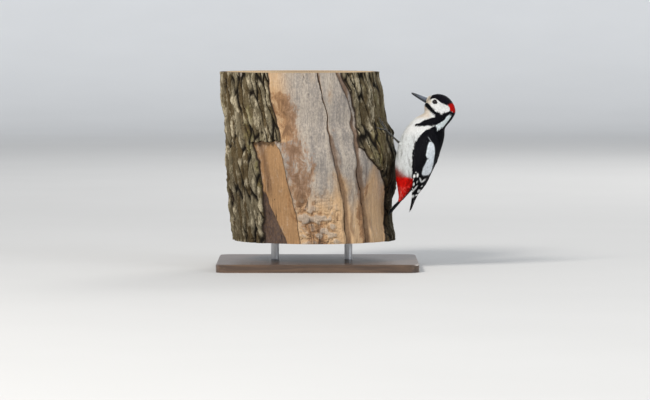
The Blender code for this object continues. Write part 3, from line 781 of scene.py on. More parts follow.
# Tail: x, z, half width, thickness, droop of its edges toward the bark
tailRows = (
    (31.0, 37.5, 5.5, 3.2, 0.2),
    (25.0, 30.4, 7.2, 3.1, 0.4),
    (18.8, 23.0, 9.0, 2.9, 0.8),
    (12.6, 15.4, 11.8, 2.6, 1.8),
    (6.8, 8.4, 11.0, 2.1, 2.0),
    (2.8, 3.4, 6.6, 1.6, 1.0),
    (0.8, 0.8, 2.2, 1.0, 0.1),
)

# Feathered lobes of the thighs: root and heel
thighs = {
    "left": ((31.0, -10.5, 98.0), (18.6, -13.8, 109.8)),
    "right": ((28.5, 14.0, 84.0), (11.8, 12.8, 68.5)),
}
thighRadii = (5.5, 2.2)


def bodyPoint(place, turn):
    place, turn = np.broadcast_arrays(place, turn)
    backX, backZ, frontX, frontZ, half = spline(bodyRows, place)
    along = 0.5 + 0.5 * np.cos(turn)
    side = np.sign(np.sin(turn)) * np.abs(np.sin(turn)) ** 0.92
    return np.stack([blend(frontX, backX, along), half * side, blend(frontZ, backZ, along)], -1)


def wingPoint(side):
    def point(place, share):
        place, share = np.broadcast_arrays(place, share)
        frontX, frontZ, backX, backZ, frontY, backY, bulge = spline(wingRows, place)
        arch = bulge * np.sin(math.pi * np.clip(share, 0, 1)) ** 0.8
        curl = 12.0 * (np.clip(-share, 0, None) + np.clip(share - 1, 0, None))
        y = side * (blend(frontY, backY, share) + arch - curl)
        return np.stack([blend(frontX, backX, share), y, blend(frontZ, backZ, share)], -1)
    return point


def tailPoint(place, share):
    place, share = np.broadcast_arrays(place, share)
    x, z, half, thick, droop = spline(tailRows, place)
    last = len(tailRows) - 1
    ahead, behind = (spline(tailRows, np.clip(place + step, 0, last)) for step in (0.05, -0.05))
    dx, dz = ahead[0] - behind[0], ahead[1] - behind[1]
    size = np.hypot(dx, dz) + 1e-9
    rise = 0.5 * thick * (1 - 0.55 * share**2) - droop * share**2
    return np.stack([x - dz / size * rise, half * share, z + dx / size * rise], -1)


def thighPoint(side):
    root, heel = (np.array(p) for p in thighs[side])
    along = (heel - root) / np.linalg.norm(heel - root)
    across = np.cross(along, (0.0, 1.0, 0.0))
    across /= np.linalg.norm(across)
    over = np.cross(along, across)

    def point(place, turn):
        place, turn = np.broadcast_arrays(place, turn)
        width = blend(*thighRadii, place) * np.sqrt(np.clip(1 - (2 * np.abs(place - 0.5)) ** 4, 0.02, None))
        ring = across * np.cos(turn)[..., None] + over * np.sin(turn)[..., None]
        return root + (heel - root) * place[..., None] + ring * width[..., None]
    return point


class Sheet:
    # a smooth surface sampled on a grid of two numbers: along the lie of the feathers, and across
    def __init__(self, make, first, second, wraps=False, shape=(360, 300), outward=(0.0, 0.0, 1.0)):
        self.first, self.second, self.wraps = first, second, wraps
        step = (second[1] - second[0]) / (shape[1] - 1)
        i = np.linspace(*first, shape[0])
        j = np.linspace(second[0] - 2 * step, second[1] + 2 * step, shape[1] + 4)
        points = make(i[:, None], j[None, :])
        down, over = np.gradient(points, i, axis=0), np.gradient(points, j, axis=1)
        normal = np.cross(down, over)
        normal /= np.linalg.norm(normal, axis=-1, keepdims=True) + 1e-12
        away = points - points.mean(axis=1, keepdims=True) if wraps else np.array(outward)
        normal *= np.sign((normal * away).sum())
        self.table = np.concatenate([points, normal, down, over], axis=-1)[:, 2:-2]
        self.shape = shape

    def at(self, i, j):
        if self.wraps:
            reach = self.second[1] - self.second[0]
            j = (j - self.second[0]) % reach + self.second[0]
        a = np.clip((i - self.first[0]) / (self.first[1] - self.first[0]), 0, 1) * (self.shape[0] - 1)
        b = np.clip((j - self.second[0]) / (self.second[1] - self.second[0]), 0, 1) * (self.shape[1] - 1)
        ai, bi = np.minimum(a.astype(int), self.shape[0] - 2), np.minimum(b.astype(int), self.shape[1] - 2)
        af, bf = (a - ai)[..., None], (b - bi)[..., None]
        t = self.table
        low = blend(t[ai, bi], t[ai, bi + 1], bf)
        high = blend(t[ai + 1, bi], t[ai + 1, bi + 1], bf)
        found = blend(low, high, af)
        return found[..., :3], found[..., 3:6], found[..., 6:9], found[..., 9:]

    def walk(self, i, j, turn, distance):
        # moves along the surface; turn 0 follows the lie, a quarter turn goes across it
        point, normal, down, over = self.at(i, j)
        lie = down / (np.linalg.norm(down, axis=-1, keepdims=True) + 1e-9)
        across = np.cross(normal, lie)
        way = lie * np.cos(turn)[..., None] + across * np.sin(turn)[..., None]
        way = way * distance[..., None]
        e, f, g = (down * down).sum(-1), (down * over).sum(-1), (over * over).sum(-1)
        p, q = (way * down).sum(-1), (way * over).sum(-1)
        det = e * g - f * f + 1e-9
        return i + (g * p - f * q) / det, j + (e * q - f * p) / det

    def spread(self, i, j):
        # each number as a share of its range, for the maps
        along, across = (
            (value - low) / (high - low) for value, (low, high) in ((i, self.first), (j, self.second))
        )
        return np.stack([across % 1.0 if self.wraps else across, along], -1)


fullTurn = (0.0, 2 * math.pi)
bodySheet = Sheet(bodyPoint, (0.0, len(bodyRows) - 1), fullTurn, wraps=True)
wingSheets = {
    side: Sheet(wingPoint(sign), (0.0, len(wingRows) - 1), (-0.12, 1.12), outward=(0.0, sign, 0.0))
    for side, sign in (("left", -1), ("right", 1))
}
tailSheet = Sheet(tailPoint, (0.0, len(tailRows) - 1), (-1.0, 1.0), outward=(1.0, 0.0, 0.0))
thighSheets = {
    side: Sheet(thighPoint(side), (0.0, 1.0), fullTurn, wraps=True, shape=(60, 60)) for side in thighs
}

# Markings, drawn from the side as outlines (u, height), where u is x less a share of the distance
# from the middle of the bird, so that both sides carry them
markOutlines = {
    "crown": ((64.5, 186), (66.2, 181), (64.6, 177.8), (62.8, 175), (62.8, 172.9), (66, 175.2), (70.9, 175.4),
              (74.6, 173), (78.8, 168.9), (84, 166.1), (89.8, 164), (95, 167), (110, 172), (100, 190)),
    "red nape": ((90.2, 164.3), (93.4, 166.8), (98.7, 167.9), (112, 168.5), (112, 153.6), (99.7, 154.2),
                 (96.8, 154.4), (93, 157.4), (91.6, 160.7)),
    "black": ((53.4, 167.4), (58.6, 169.2), (62.9, 165.4), (66.3, 160.4), (69.2, 157.2), (73, 154.6),
              (77.2, 153.2), (79.8, 151.1), (82.4, 153.2), (86.1, 154.2), (89.3, 155.2), (92.9, 156.3),
              (94.6, 154.8), (114, 153.4), (114, 10), (16, 8), (20.8, 24.5), (28.5, 33.5), (34.5, 40.5),
              (40, 50), (42, 60), (44, 80), (45, 110), (47.8, 120.1), (49.9, 122.7), (54.1, 126.3),
              (58.3, 128.9), (62.5, 131), (65.1, 133), (68.8, 134), (58.3, 134.1), (51, 133.8), (44.7, 133.5),
              (39.4, 133.8), (37.9, 135.1), (41, 137.7), (44.7, 138.2), (49.9, 141.3), (55.2, 143.9),
              (60.4, 145.4), (65.1, 147), (69.3, 147.5), (69.9, 149.5), (68.3, 150.2), (64.1, 153.8),
              (60.1, 157.4), (55.9, 162.8)),
    "neck patch": ((69.3, 135.1), (76.1, 138.2), (80.3, 140.3), (84, 143.4), (85.6, 147), (90.3, 150.1),
                   (94, 150.1), (94.2, 148.4), (91.9, 144.9), (86.6, 138.2), (81.4, 131), (76.1, 128.4),
                   (73.5, 126.3), (72.5, 131)),
    "scapulars": ((60.5, 111.2), (64.4, 112.7), (68.3, 108.8), (69.9, 102.7), (70.2, 95), (69.1, 87.3),
                  (68.3, 79.6), (66.7, 71.9), (64.4, 65.2), (61.3, 61.8), (56.6, 61), (51.1, 61.4),
                  (49.6, 64.2), (51.1, 71.9), (54.2, 78.1), (57.4, 85), (59.9, 86.6), (57.1, 88),
                  (55.5, 91.9), (56.6, 98.1), (58.1, 105.8)),
    "scapular streak": ((58.2, 119.6), (60.2, 119), (64.4, 113.2), (63, 112.4)),
}
# White spots of the flight feathers: u, height, length, width, lean in degrees
wingSpots = (
    (38.8, 60.4, 5.2, 3.0, 75), (43.9, 61.6, 5.6, 2.7, 78), (41.4, 66.4, 2.0, 1.4, 70),
    (38.6, 48.2, 4.8, 2.4, 75), (48.7, 54.2, 7.2, 2.3, 108), (53.3, 53.4, 9.0, 2.3, 38),
    (40.6, 41.6, 11.5, 2.0, 51), (46.1, 37.6, 5.4, 3.0, 55), (37.4, 29.6, 4.6, 3.2, 50),
    (37.6, 54.6, 3.0, 1.6, 70), (43.6, 51.6, 3.4, 1.5, 60), (37.0, 37.0, 3.0, 1.5, 60),
    (42.0, 31.5, 3.0, 1.5, 50), (50.8, 45.0, 3.4, 1.6, 40), (39.6, 23.0, 3.0, 1.6, 50),
    (37.0, 17.0, 2.4, 1.2, 50), (36.2, 41.8, 4.6, 1.8, 128), (35.3, 56.0, 3.6, 1.4, 95),
)
plumageColours = {
    "white": (0.79, 0.79, 0.78),
    "bellyWhite": (0.725, 0.75, 0.75),
    "neckWhiteLit": (0.84, 0.90, 0.90),
    "cream": (0.78, 0.67, 0.52),
    "throat": (0.72, 0.62, 0.51),
    "black": (0.0038, 0.0037, 0.0058),
    "crown": (0.0075, 0.0062, 0.0105),
    "nape": (0.58, 0.006, 0.004),
    "vent": (0.62, 0.006, 0.003),
    "ventPale": (0.72, 0.24, 0.20),
    "patch": (0.70, 0.74, 0.77),
    "rustAndShade": (0.27, 0.030, 0.020),
    "streak": (0.20, 0.19, 0.18),
    "quill": (0.0042, 0.0040, 0.0052),
    "worn": (0.018, 0.015, 0.014),
    "spot": (0.84, 0.84, 0.82),
    "tailBar": (0.60, 0.57, 0.52),
}
paint = {key: np.array(value) for key, value in plumageColours.items()}


def sideView(points):
    # where points in the bird's frame stand in the drawing of the markings, and how far to the side
    x, y, w = np.moveaxis(points, -1, 0)
    return x - 0.176 * np.abs(y), y, w


def inside(mark, u, w):
    # distance to an outline in millimetres, more than 0 inside it
    corners = np.array(markOutlines[mark], float)
    nearest = np.full(np.shape(u), 1e9)
    odd = np.zeros(np.shape(u), bool)
    for (ax, ay), (bx, by) in zip(corners, np.roll(corners, -1, axis=0)):
        ex, ey = bx - ax, by - ay
        share = np.clip(((u - ax) * ex + (w - ay) * ey) / (ex * ex + ey * ey), 0, 1)
        nearest = np.minimum(nearest, np.hypot(u - ax - share * ex, w - ay - share * ey))
        crosses = (ay > w) != (by > w)
        odd ^= crosses & (u < ex * (w - ay) / np.where(by == ay, 1e-9, by - ay) + ax)
    return np.where(odd, nearest, -nearest)


def blush(u, w, luck):
    # red that spreads from the vent up the front of the belly
    drop = 0.8 * (u - 10)
    return softStep(w, 79 - drop, 66 - drop) * softStep(luck, -0.6, 0.35)


def plumage(points, luck=0.5, soft=0.35):
    # colour of the coat at points in the bird's frame
    u, y, w = sideView(points)
    luck = np.broadcast_to(luck, u.shape)

    def over(colour, name, share, strength=1.0):
        return blend(colour, paint[name] * strength, share[..., None])

    def covers(mark):
        return softStep(inside(mark, u, w), -soft, soft)

    colour = np.broadcast_to(paint["white"], points.shape).copy()
    colour = over(colour, "bellyWhite", softStep(w, 128, 112))
    clumpPlace = np.stack((points[..., 0] + 0.25 * w, y, w), -1)
    clump = softStep(fractal(clumpPlace, (2.4, 2.4, 13.0), 2, 9), 0.0, 0.5)
    # grey streaks along the lie of the belly feathers and on single feathers: partly the coat's own colour,
    # partly painted shade between the feather locks
    shadedStreaks = softStep(w, 128, 114) * softStep(w, 57, 62)
    colour = over(colour, "streak", shadedStreaks * (0.40 * clump + 0.42 * softStep(luck, 0.78, 0.86)))
    # painted shadow: a dark red-brown low on the flank behind the blush
    colour = over(colour, "rustAndShade", 0.34 * softStep(w, 64, 59) * softStep(u, 18, 28) * clump, 0.45)
    throat = softStep(u, 66, 58) * softStep(w, 143, 150) * softStep(w, 172, 166)
    colour = over(colour, "throat", 0.85 * throat)
    colour = over(colour, "cream", 0.8 * (softStep(u, 66.5, 62.0) * softStep(w, 165, 171)))
    colour = over(colour, "rustAndShade", blush(u, w, luck) * (1 - softStep(u, 18, 15) * softStep(y, 9, 11)))
    pale = softStep(luck, 0.74, 0.84) * softStep(w, 46, 36)
    red = paint["vent"] * (blend(0.62, 1.15, softStep(luck, 0.05, 0.55)) * (1 - 0.45 * clump))[..., None]
    colour = blend(colour, over(red, "ventPale", 0.8 * pale), softStep(w, 58.5, 55.5)[..., None])
    colour = over(colour, "black", covers("black"))
    # the neck patch is painted a lighter, bluer white than the rest: painted light on a patch that lies in
    # shade
    colour = over(colour, "neckWhiteLit", covers("neck patch") * softStep(np.abs(y), 3.0, 5.0))
    colour = over(colour, "crown", covers("crown"))
    return over(colour, "nape", covers("red nape"))


def featherLook(name, gloss):
    # tint is the coat's colour; vane is (share of the length, share of the half width, luck)
    look = Look(name, {"Roughness": 0.5, "Specular IOR Level": 0.055})
    tint = look.painted("tint")
    along, across, luck = look.parts("vane")
    barbs = ((along * 26.0 - abs(across) * 7.0) * (2 * math.pi)).wave()
    shaft = 1 - abs(across).clip(0.03, 0.10)
    value = 0.84 + 0.26 * luck + 0.07 * barbs - 0.10 * shaft
    # painted shade: each vane darker toward its root, where the feathers overlap
    value = value * (0.74 + 0.26 * along.clip(0.10, 0.62))
    bright = look.node("RGBToBW", sockets={0: tint})
    look.set({"Base Color": look.shade(tint, value), "Roughness": gloss + 0.42 * bright.clip(0.02, 0.5)})
    look.bump(barbs * 0.5 + shaft, 0.00012, 0.7)
    return look


def scatter(sheet, keep, plan):
    # roots spread over a surface, each at least the gap asked for from the next
    draw = np.random.default_rng(plan["seed"])
    i = draw.uniform(*sheet.first, plan["tries"])
    j = draw.uniform(*sheet.second, plan["tries"])
    point, normal, down, over = sheet.at(i, j)
    gap = np.broadcast_to(byRow(plan["gap"], i), i.shape)
    area = np.linalg.norm(np.cross(down, over), axis=-1) / gap**2
    wanted = keep(i, j, point) & (draw.random(plan["tries"]) < area / np.quantile(area, 0.98))
    i, j, point, gap = i[wanted], j[wanted], point[wanted], gap[wanted]
    keys = np.floor(point / float(gap.max())).astype(int).tolist()
    nearby = [np.subtract(step, 1).tolist() for step in np.ndindex(3, 3, 3)]
    cells = {}
    chosen = []
    for k, ((a, b, c), (px, py, pz), room) in enumerate(zip(keys, point.tolist(), (gap**2).tolist())):
        if all(
            (px - qx) ** 2 + (py - qy) ** 2 + (pz - qz) ** 2 >= room
            for da, db, dc in nearby
            for qx, qy, qz in cells.get((a + da, b + db, c + dc), ())
        ):
            cells.setdefault((a, b, c), []).append((px, py, pz))
            chosen.append(k)
    return i[chosen], j[chosen], draw


vaneOutlines = {
    # half width as a share of the widest place, at stations from root to tip
    "round": ((0.0, 0.30), (0.22, 0.72), (0.48, 1.0), (0.72, 0.98), (0.89, 0.72), (1.0, 0.22)),
    "lance": ((0.0, 0.30), (0.25, 0.85), (0.50, 1.0), (0.78, 0.72), (1.0, 0.06)),
    "tuft": ((0.0, 0.45), (0.35, 0.95), (0.70, 0.85), (1.0, 0.30)),
    "hair": ((0.0, 0.7), (0.5, 1.0), (1.0, 0.12)),
}
coatLengths = ((0, 1.5), (1.2, 2.0), (2.5, 2.6), (4, 3.4), (6, 4.6), (7.5, 6.2), (10, 8.4), (13, 8.4),
               (14.5, 7.6), (16, 6.0))
# How far the skin lies under the tips of the coat, from the bill to the tail
coatDepths = ((0.0, 0.5), (1.5, 0.7), (6.0, 1.3), (8.0, 2.0), (16.0, 2.4))
# A kind of feather: sizes in millimetres or as tables down the body, and how unlike each other they are.
# Without a depth of their own the roots lie a little under the skin.
anyFeather = {
    "length": coatLengths,
    "stretch": 1.0,
    "columns": 5,
    "sway": 0.12,
    "fray": 0.10,
    "camber": 0.25,
    "curl": 0.0,
}


def growFeathers(sheet, i, j, plan, draw, colour, turn=0.0, whole=True):
    # vanes that hug a surface: each starts under the coat and its tip lies on the one before it
    count, columns = len(i), plan["columns"]
    length = byRow(plan["length"], i) * plan["stretch"] * draw.uniform(0.86, 1.14, count)
    width = byRow(plan["width"], i) * draw.uniform(0.88, 1.12, count)
    depth = byRow(plan["depth"], i) if "depth" in plan else byRow(coatDepths, i) + 0.2
    lift = byRow(plan["lift"], i) * draw.uniform(0.7, 1.3, count)
    turn = turn + draw.normal(0.0, plan["sway"], count)
    luck = draw.random(count)
    shares, halves = np.array(vaneOutlines[plan["form"]]).T
    across = np.linspace(-1.0, 1.0, columns)
    ragged = draw.uniform(-1.0, 1.0, (count, columns)) * plan["fray"]
    side = np.repeat((turn + math.pi / 2)[:, None], columns, axis=1)
    points = np.zeros((count, len(shares), columns, 3))
    ci, cj = i.copy(), j.copy()
    for k, share in enumerate(shares):
        if k:
            ci, cj = sheet.walk(ci, cj, turn, (share - shares[k - 1]) * length)
        vi, vj = (np.repeat(value[:, None], columns, 1) for value in (ci, cj))
        vi, vj = sheet.walk(vi, vj, side, across[None, :] * (0.5 * halves[k] * width)[:, None])
        vi, vj = sheet.walk(vi, vj, side - math.pi / 2, ragged * length[:, None] * share**3)
        point, normal, down, over = sheet.at(vi, vj)
        rise = -depth * (1 - share) ** 1.6 + lift * share**1.5 + plan["curl"] * share**4
        bow = plan["camber"] * (across[None, :] ** 2) * halves[k] * (0.25 * width)[:, None]
        points[:, k] = point + normal * (rise[:, None] - bow)[..., None]
    if whole:
        tint = colour(points[:, -1, columns // 2], luck)[:, None, None, :]
    else:
        tint = colour(points, luck[:, None, None])
    tint = np.broadcast_to(tint, points.shape)
    vane = np.stack(np.broadcast_arrays(shares[:, None], across, luck[:, None, None]), -1)
    root = np.clip(sheet.spread(i, j), 0, 1) * 0.94 + 0.03
    patch = np.stack([vane[..., 1], vane[..., 0] * 2 - 1], -1) * 0.0015
    places = root[:, None, None, :] + patch
    starts = (np.arange(count) * len(shares) * columns)[:, None, None]
    faces = (gridFaces(len(shares), columns)[None] + starts).reshape(-1, 4)
    return points.reshape(-1, 3), faces, tint.reshape(-1, 3), vane.reshape(-1, 3), places.reshape(-1, 2)


def sow(sheet, keep, plan, colour, turn=None, whole=True):
    # scatters the roots of one kind of feather, and gives back what grows those between two rows
    plan = {**anyFeather, **plan}
    i, j, draw = scatter(sheet, keep, plan)
    if plan.get("tipsFirst"):
        order = np.argsort(-i)
        i, j = i[order], j[order]

    def grow(first=-1.0, last=99.0, **changes):
        chosen = (i >= first) & (i < last)
        a, b = i[chosen], j[chosen]
        lean = turn(a, b) if turn else 0.0
        return growFeathers(sheet, a, b, {**plan, **changes}, draw, colour, lean, whole)
    return grow


def addCoat(name, parts, look, replaced=()):
    points, faces, tint, vane, places = joined(parts)
    print(name, len(faces) * 2, "triangles")
    addPiece(name, toWorld(points), faces, look, replaced, {"tint": tint, "vane": vane}, places)


# Eyes, one mirrored for the left
eye = {
    "centre": (72.0, 10.7, 170.3),
    "radius": 4.5,
    "look": (-0.13, 1.0, 0.06),     # where it points, for the right eye
    "opening": (3.35, 2.20),        # half axes of the open lids
    "socket": 0.8,                  # how much deeper the skin lies round the lids
    "lean": math.radians(-8),
    "iris": (0.040, 0.011, 0.007),
    "irisEdge": (0.008, 0.004, 0.004),
    "lid": (0.0075, 0.0072, 0.0078),
    "pupil": (0.001, 0.001, 0.001),
    "sides": 56,
    "rings": 41,
    "lids": (                       # their section: share of the opening, how far out
        (0.96, -0.25), (0.98, 0.08), (1.02, 0.26), (1.08, 0.34), (1.15, 0.30), (1.22, 0.02), (1.36, -0.7),
    ),
}

# Skin under the coat: the body, the thighs and the flesh of the wings run into one
underSkin = {
    "voxel": 0.0011,            # metres
    "thighDepth": 0.9,
    "wingDepths": (1.3, 6.0),   # outer and inner face of a wing's flesh
}


def skinInset(place, point):
    # deeper round the eyes, so that the lids stand clear
    x, y, z = eye["centre"]
    near = np.exp(-((np.hypot(point[..., 0] - x, point[..., 2] - z) / 5.0) ** 4))
    return byRow(coatDepths, place) + eye["socket"] * near * (np.abs(point[..., 1]) > 5)


def closedLoft(sheet, inset, rows, columns, end=1.0):
    # a closed form inside a surface that wraps round
    i = np.linspace(sheet.first[0], blend(*sheet.first, end), rows)
    j = np.linspace(*sheet.second, columns, endpoint=False)
    i, j = np.meshgrid(i, j, indexing="ij")
    point, normal, down, over = sheet.at(i, j)
    return closed(point - normal * np.asarray(inset(i, point) if callable(inset) else inset)[..., None])


def wingFlesh(sheet):
    # the wing's bed: its outer surface a little sunk, and a face inside the body
    i, j = np.meshgrid(np.linspace(0.15, 6.2, 60), np.linspace(0.04, 0.96, 30), indexing="ij")
    point, normal, down, over = sheet.at(i, j)
    outer, inner = (point - normal * depth for depth in underSkin["wingDepths"])
    return closed(np.concatenate([outer, inner[:, ::-1]], axis=1))


def skinLook():
    look = Look("skinUnderCoat", {"Roughness": 0.75})
    down = look.noise(look.place(), 900.0, 3.0)
    look.set({"Base Color": look.shade(look.painted("tint"), 0.55 + 0.4 * down)})
    look.bump(down, 0.0003)
    return look


def makeSkin():
    parts = [closedLoft(bodySheet, skinInset, 150, 110)]
    parts += [wingFlesh(sheet) for sheet in wingSheets.values()]
    parts += [closedLoft(sheet, underSkin["thighDepth"], 20, 24, 0.9) for sheet in thighSheets.values()]
    points, faces = joined(parts)
    look = skinLook()
    draft = addPiece("draft", toWorld(points), faces, look, rides=False)
    remesh = draft.modifiers.new("merge", "REMESH")
    remesh.mode, remesh.voxel_size = "VOXEL", underSkin["voxel"]
    smooth = draft.modifiers.new("smooth", "SMOOTH")
    smooth.factor, smooth.iterations = 0.5, 4
    bpy.context.view_layer.update()
    mesh = bpy.data.meshes.new_from_object(draft.evaluated_get(bpy.context.evaluated_depsgraph_get()))
    bpy.data.objects.remove(draft, do_unlink=True)
    where = np.zeros(len(mesh.vertices) * 3)
    mesh.vertices.foreach_get("co", where)
    paintPoints(mesh, "tint", plumage(toBird(where.reshape(-1, 3))) * 0.8)
    replaced = ("head", "neck", "body", "thigh_left", "thigh_right")
    addObject("skin", mesh, look, replaced)
    print("skin", len(mesh.polygons) * 2, "triangles")


makeSkin()

# Contour feathers: what grows where
def eyeOffsets(points, side):
    # how far points lie from the eye, along and up its opening
    away = points - np.array(eye["centre"]) * (1, side, 1)
    c, s = math.cos(eye["lean"]), math.sin(eye["lean"])
    return away[..., 0] * c + away[..., 2] * s, away[..., 2] * c - away[..., 0] * s


def clearOfEye(points, share):
    free = np.ones(points.shape[:-1], bool)
    wide, tall = eye["opening"]
    for side in (-1, 1):
        along, up = eyeOffsets(points, side)
        near = points[..., 1] * side > 3
        free &= ~(near & ((along / (wide * share)) ** 2 + (up / (tall * share)) ** 2 < 1))
    return free


def keepHead(i, j, point):
    # no feather starts, bends or ends over an eye
    free = clearOfEye(point, 1.24) & (i > 0.25) & (i < 6.7)
    for share in (1.0, 0.5):
        ahead = bodySheet.walk(i, j, np.zeros_like(i), share * byRow(coatLengths, i))
        free &= clearOfEye(bodySheet.at(*ahead)[0], 1.16)
    return free


def keepBody(front):
    rows = np.array(wingRows)

    def keep(i, j, point):
        # not where the folded wing lies: its row number, and the share from its front edge to its back
        place = np.interp(-point[..., 2], -rows[:, 1], np.arange(len(rows)))
        ahead, behind = (np.interp(place, range(len(rows)), rows[:, k]) for k in (0, 2))
        share = (point[..., 0] - ahead) / (behind - ahead)
        hidden = (place > 0.9) & (place < 7.2) & (share > 0.16) & (share < 0.93) & (np.abs(point[..., 1]) > 4)
        isFront = np.cos(j) < 0.25
        return ~hidden & (i > 6.5) & (i < 15.85) & (isFront == front)
    return keep


def headTurn(i, j):
    # feathers under the eye and on the cheek sweep a little down and back
    return 0.18 * np.sin(j) * np.sin(np.clip(i / 6.0, 0, 1) * math.pi)


def thighColour(points, luck):
    u, y, w = sideView(points)
    colour = blend(paint["bellyWhite"], paint["streak"], 0.35 * softStep(luck, 0.75, 0.85)[..., None])
    return blend(colour, paint["rustAndShade"], blush(u, w, luck)[..., None])


coats = {
    "head": {
        "seed": 11, "tries": 90000, "gap": ((0, 0.52), (2, 0.62), (4, 0.82), (6.7, 1.15)),
        "width": ((0, 0.55), (2, 0.75), (4, 1.15), (6.7, 1.9)), "lift": ((0, 0.10), (2, 0.14), (6, 0.25)),
        "columns": 3, "sway": 0.14, "fray": 0.14,
    },
    "headFine": {
        "seed": 18, "tries": 160000, "gap": ((0, 0.42), (3, 0.55), (6.7, 0.70)), "form": "hair",
        "stretch": 0.75, "width": 0.30, "depth": 0.3, "lift": ((0, 0.16), (3, 0.26)),
        "columns": 2, "sway": 0.16, "camber": 0.0,
    },
    "lids": {
        "seed": 17, "tries": 300000, "gap": 0.30, "form": "tuft", "length": 0.85, "width": 0.42,
        "depth": 0.35, "lift": 0.10, "columns": 3, "sway": 0.2, "fray": 0.15,
    },
    "bristles": {
        "seed": 12, "tries": 60000, "gap": 0.42, "form": "hair", "length": 2.2, "width": 0.30,
        "depth": 0.4, "lift": 0.55, "columns": 3, "sway": 0.20, "fray": 0.2, "curl": 0.2,
    },
    "front": {
        "seed": 13, "tries": 60000, "gap": ((6.5, 1.1), (8, 1.35), (11, 1.5), (13.5, 1.3), (16, 1.05)),
        "form": "lance", "stretch": 1.1, "width": ((6.5, 1.9), (8, 2.7), (11, 3.2), (13.5, 2.7), (16, 2.2)),
        "lift": 0.16, "fray": 0.14, "camber": 0.12,
    },
    "frontFine": {
        "seed": 16, "tries": 240000, "gap": 0.62, "form": "hair", "stretch": 0.62, "width": 0.60,
        "depth": 0.4, "lift": 0.24, "columns": 2, "sway": 0.20, "fray": 0.15, "camber": 0.0,
    },
    "back": {
        "seed": 14, "tries": 60000, "gap": ((6.5, 1.15), (9, 1.7), (14, 1.7), (16, 1.2)),
        "width": ((6.5, 2.0), (9, 3.4), (14, 3.6)), "lift": 0.18, "sway": 0.08,
    },
    "neckFine": {
        "seed": 19, "tries": 90000, "gap": 0.75, "form": "hair", "stretch": 0.62, "width": 0.42,
        "depth": 0.5, "lift": 0.32, "columns": 2, "sway": 0.14, "fray": 0.15, "camber": 0.0,
    },
    "thighs": {
        "seed": 15, "tries": 20000, "gap": 0.7, "form": "lance", "length": 4.0, "width": 1.3,
        "depth": 0.8, "lift": 0.12, "columns": 3, "sway": 0.14, "fray": 0.16, "camber": 0.15,
    },
}
coatRows = {"faceEnd": 3.4, "neckEnd": 9.0, "ventStart": 13.0}


def makeCoats():
    soft = featherLook("softPlumage", 0.46)

    def crop(kind, keep, turn=None, sheet=bodySheet, colour=plumage):
        return sow(sheet, keep, coats[kind], colour, turn)

    head, fine = (crop(kind, keepHead, headTurn) for kind in ("head", "headFine"))
    faceEnd = coatRows["faceEnd"]
    parts = [head(last=faceEnd, form="hair"), head(first=faceEnd, form="tuft"), fine()]
    addCoat("coat_head", parts, soft)

    # short ones close round the lids
    lids = crop("lids", lambda i, j, p: clearOfEye(p, 1.20) & ~clearOfEye(p, 1.75), headTurn)
    addCoat("coat_round_eyes", [lids()], soft)

    # bristles over the nostrils, pointing forward
    bristles = crop(
        "bristles", lambda i, j, p: (i > 0.35) & (i < 1.25) & (np.cos(j) > 0), lambda i, j: math.pi,
    )
    addCoat("coat_bristles", [bristles()], soft)

    front, fine = (crop(kind, keepBody(True)) for kind in ("front", "frontFine"))
    ventStart = coatRows["ventStart"]
    for name, rows in (("coat_breast", {"last": ventStart}), ("coat_vent", {"first": ventStart})):
        addCoat(name, [front(**rows), fine(**rows)], soft)

    back = crop("back", keepBody(False))
    fine = crop("neckFine", lambda i, j, p: keepBody(False)(i, j, p) & (i < 9.5))
    neckEnd = coatRows["neckEnd"]
    neck = back(last=neckEnd, form="lance", camber=0.12)
    mantle = back(first=neckEnd, form="round", camber=0.22)
    addCoat("coat_back", [neck, mantle, fine()], soft)

    for side, sheet in thighSheets.items():
        thigh = crop("thighs", lambda i, j, p: (i > 0.08) & (i < 0.93), None, sheet, thighColour)
        addCoat("coat_thigh_" + side, [thigh()], soft)


makeCoats()
print("contour feathers made")

# Wings: rows of coverts over long quills
wingCoat = {
    "coverts": {
        "seed": 31, "tries": 30000, "gap": ((0, 1.2), (2, 1.9), (6.5, 2.5)), "form": "round",
        "length": ((0, 4.0), (2, 6.0), (5, 8.5), (6.5, 9.5)),
        "width": ((0, 2.6), (2, 4.2), (5, 5.6), (6.5, 6.0)), "depth": 1.0, "lift": 0.35,
        "columns": 7, "sway": 0.06, "fray": 0.03, "camber": 0.2, "tipsFirst": True,
    },
    "scapulars": {
        "seed": 41, "tries": 40000, "gap": 1.9, "form": "round", "length": 8.5, "width": 4.6,
        "depth": 0.5, "lift": 0.9, "columns": 7, "fray": 0.04,
    },
}
# Quills of a wing, from the outermost primary to the innermost tertial:
# row number of the tip, share of the wing's width at root and tip, outer and inner half width
wingQuills = (
    (10.4, (0.03, 0.10), (1.1, 2.4)), (11.3, (0.07, 0.20), (1.1, 2.6)), (12.0, (0.11, 0.40), (1.2, 2.7)),
    (11.9, (0.15, 0.55), (1.2, 2.7)), (11.3, (0.19, 0.62), (1.2, 2.8)), (10.7, (0.23, 0.66), (1.3, 2.8)),
    (10.1, (0.27, 0.70), (1.3, 2.9)), (9.6, (0.31, 0.72), (1.4, 3.0)), (9.2, (0.36, 0.74), (1.4, 3.0)),
    (8.9, (0.41, 0.76), (1.5, 3.2)), (8.7, (0.46, 0.78), (1.6, 3.3)), (8.5, (0.51, 0.80), (1.6, 3.4)),
    (8.3, (0.57, 0.84), (1.7, 3.5)), (8.1, (0.63, 0.88), (1.8, 3.6)), (7.9, (0.70, 0.92), (2.0, 3.6)),
    (7.6, (0.78, 0.95), (2.4, 3.6)), (7.2, (0.86, 0.95), (3.0, 3.4)), (6.7, (0.93, 0.94), (3.2, 3.0)),
)
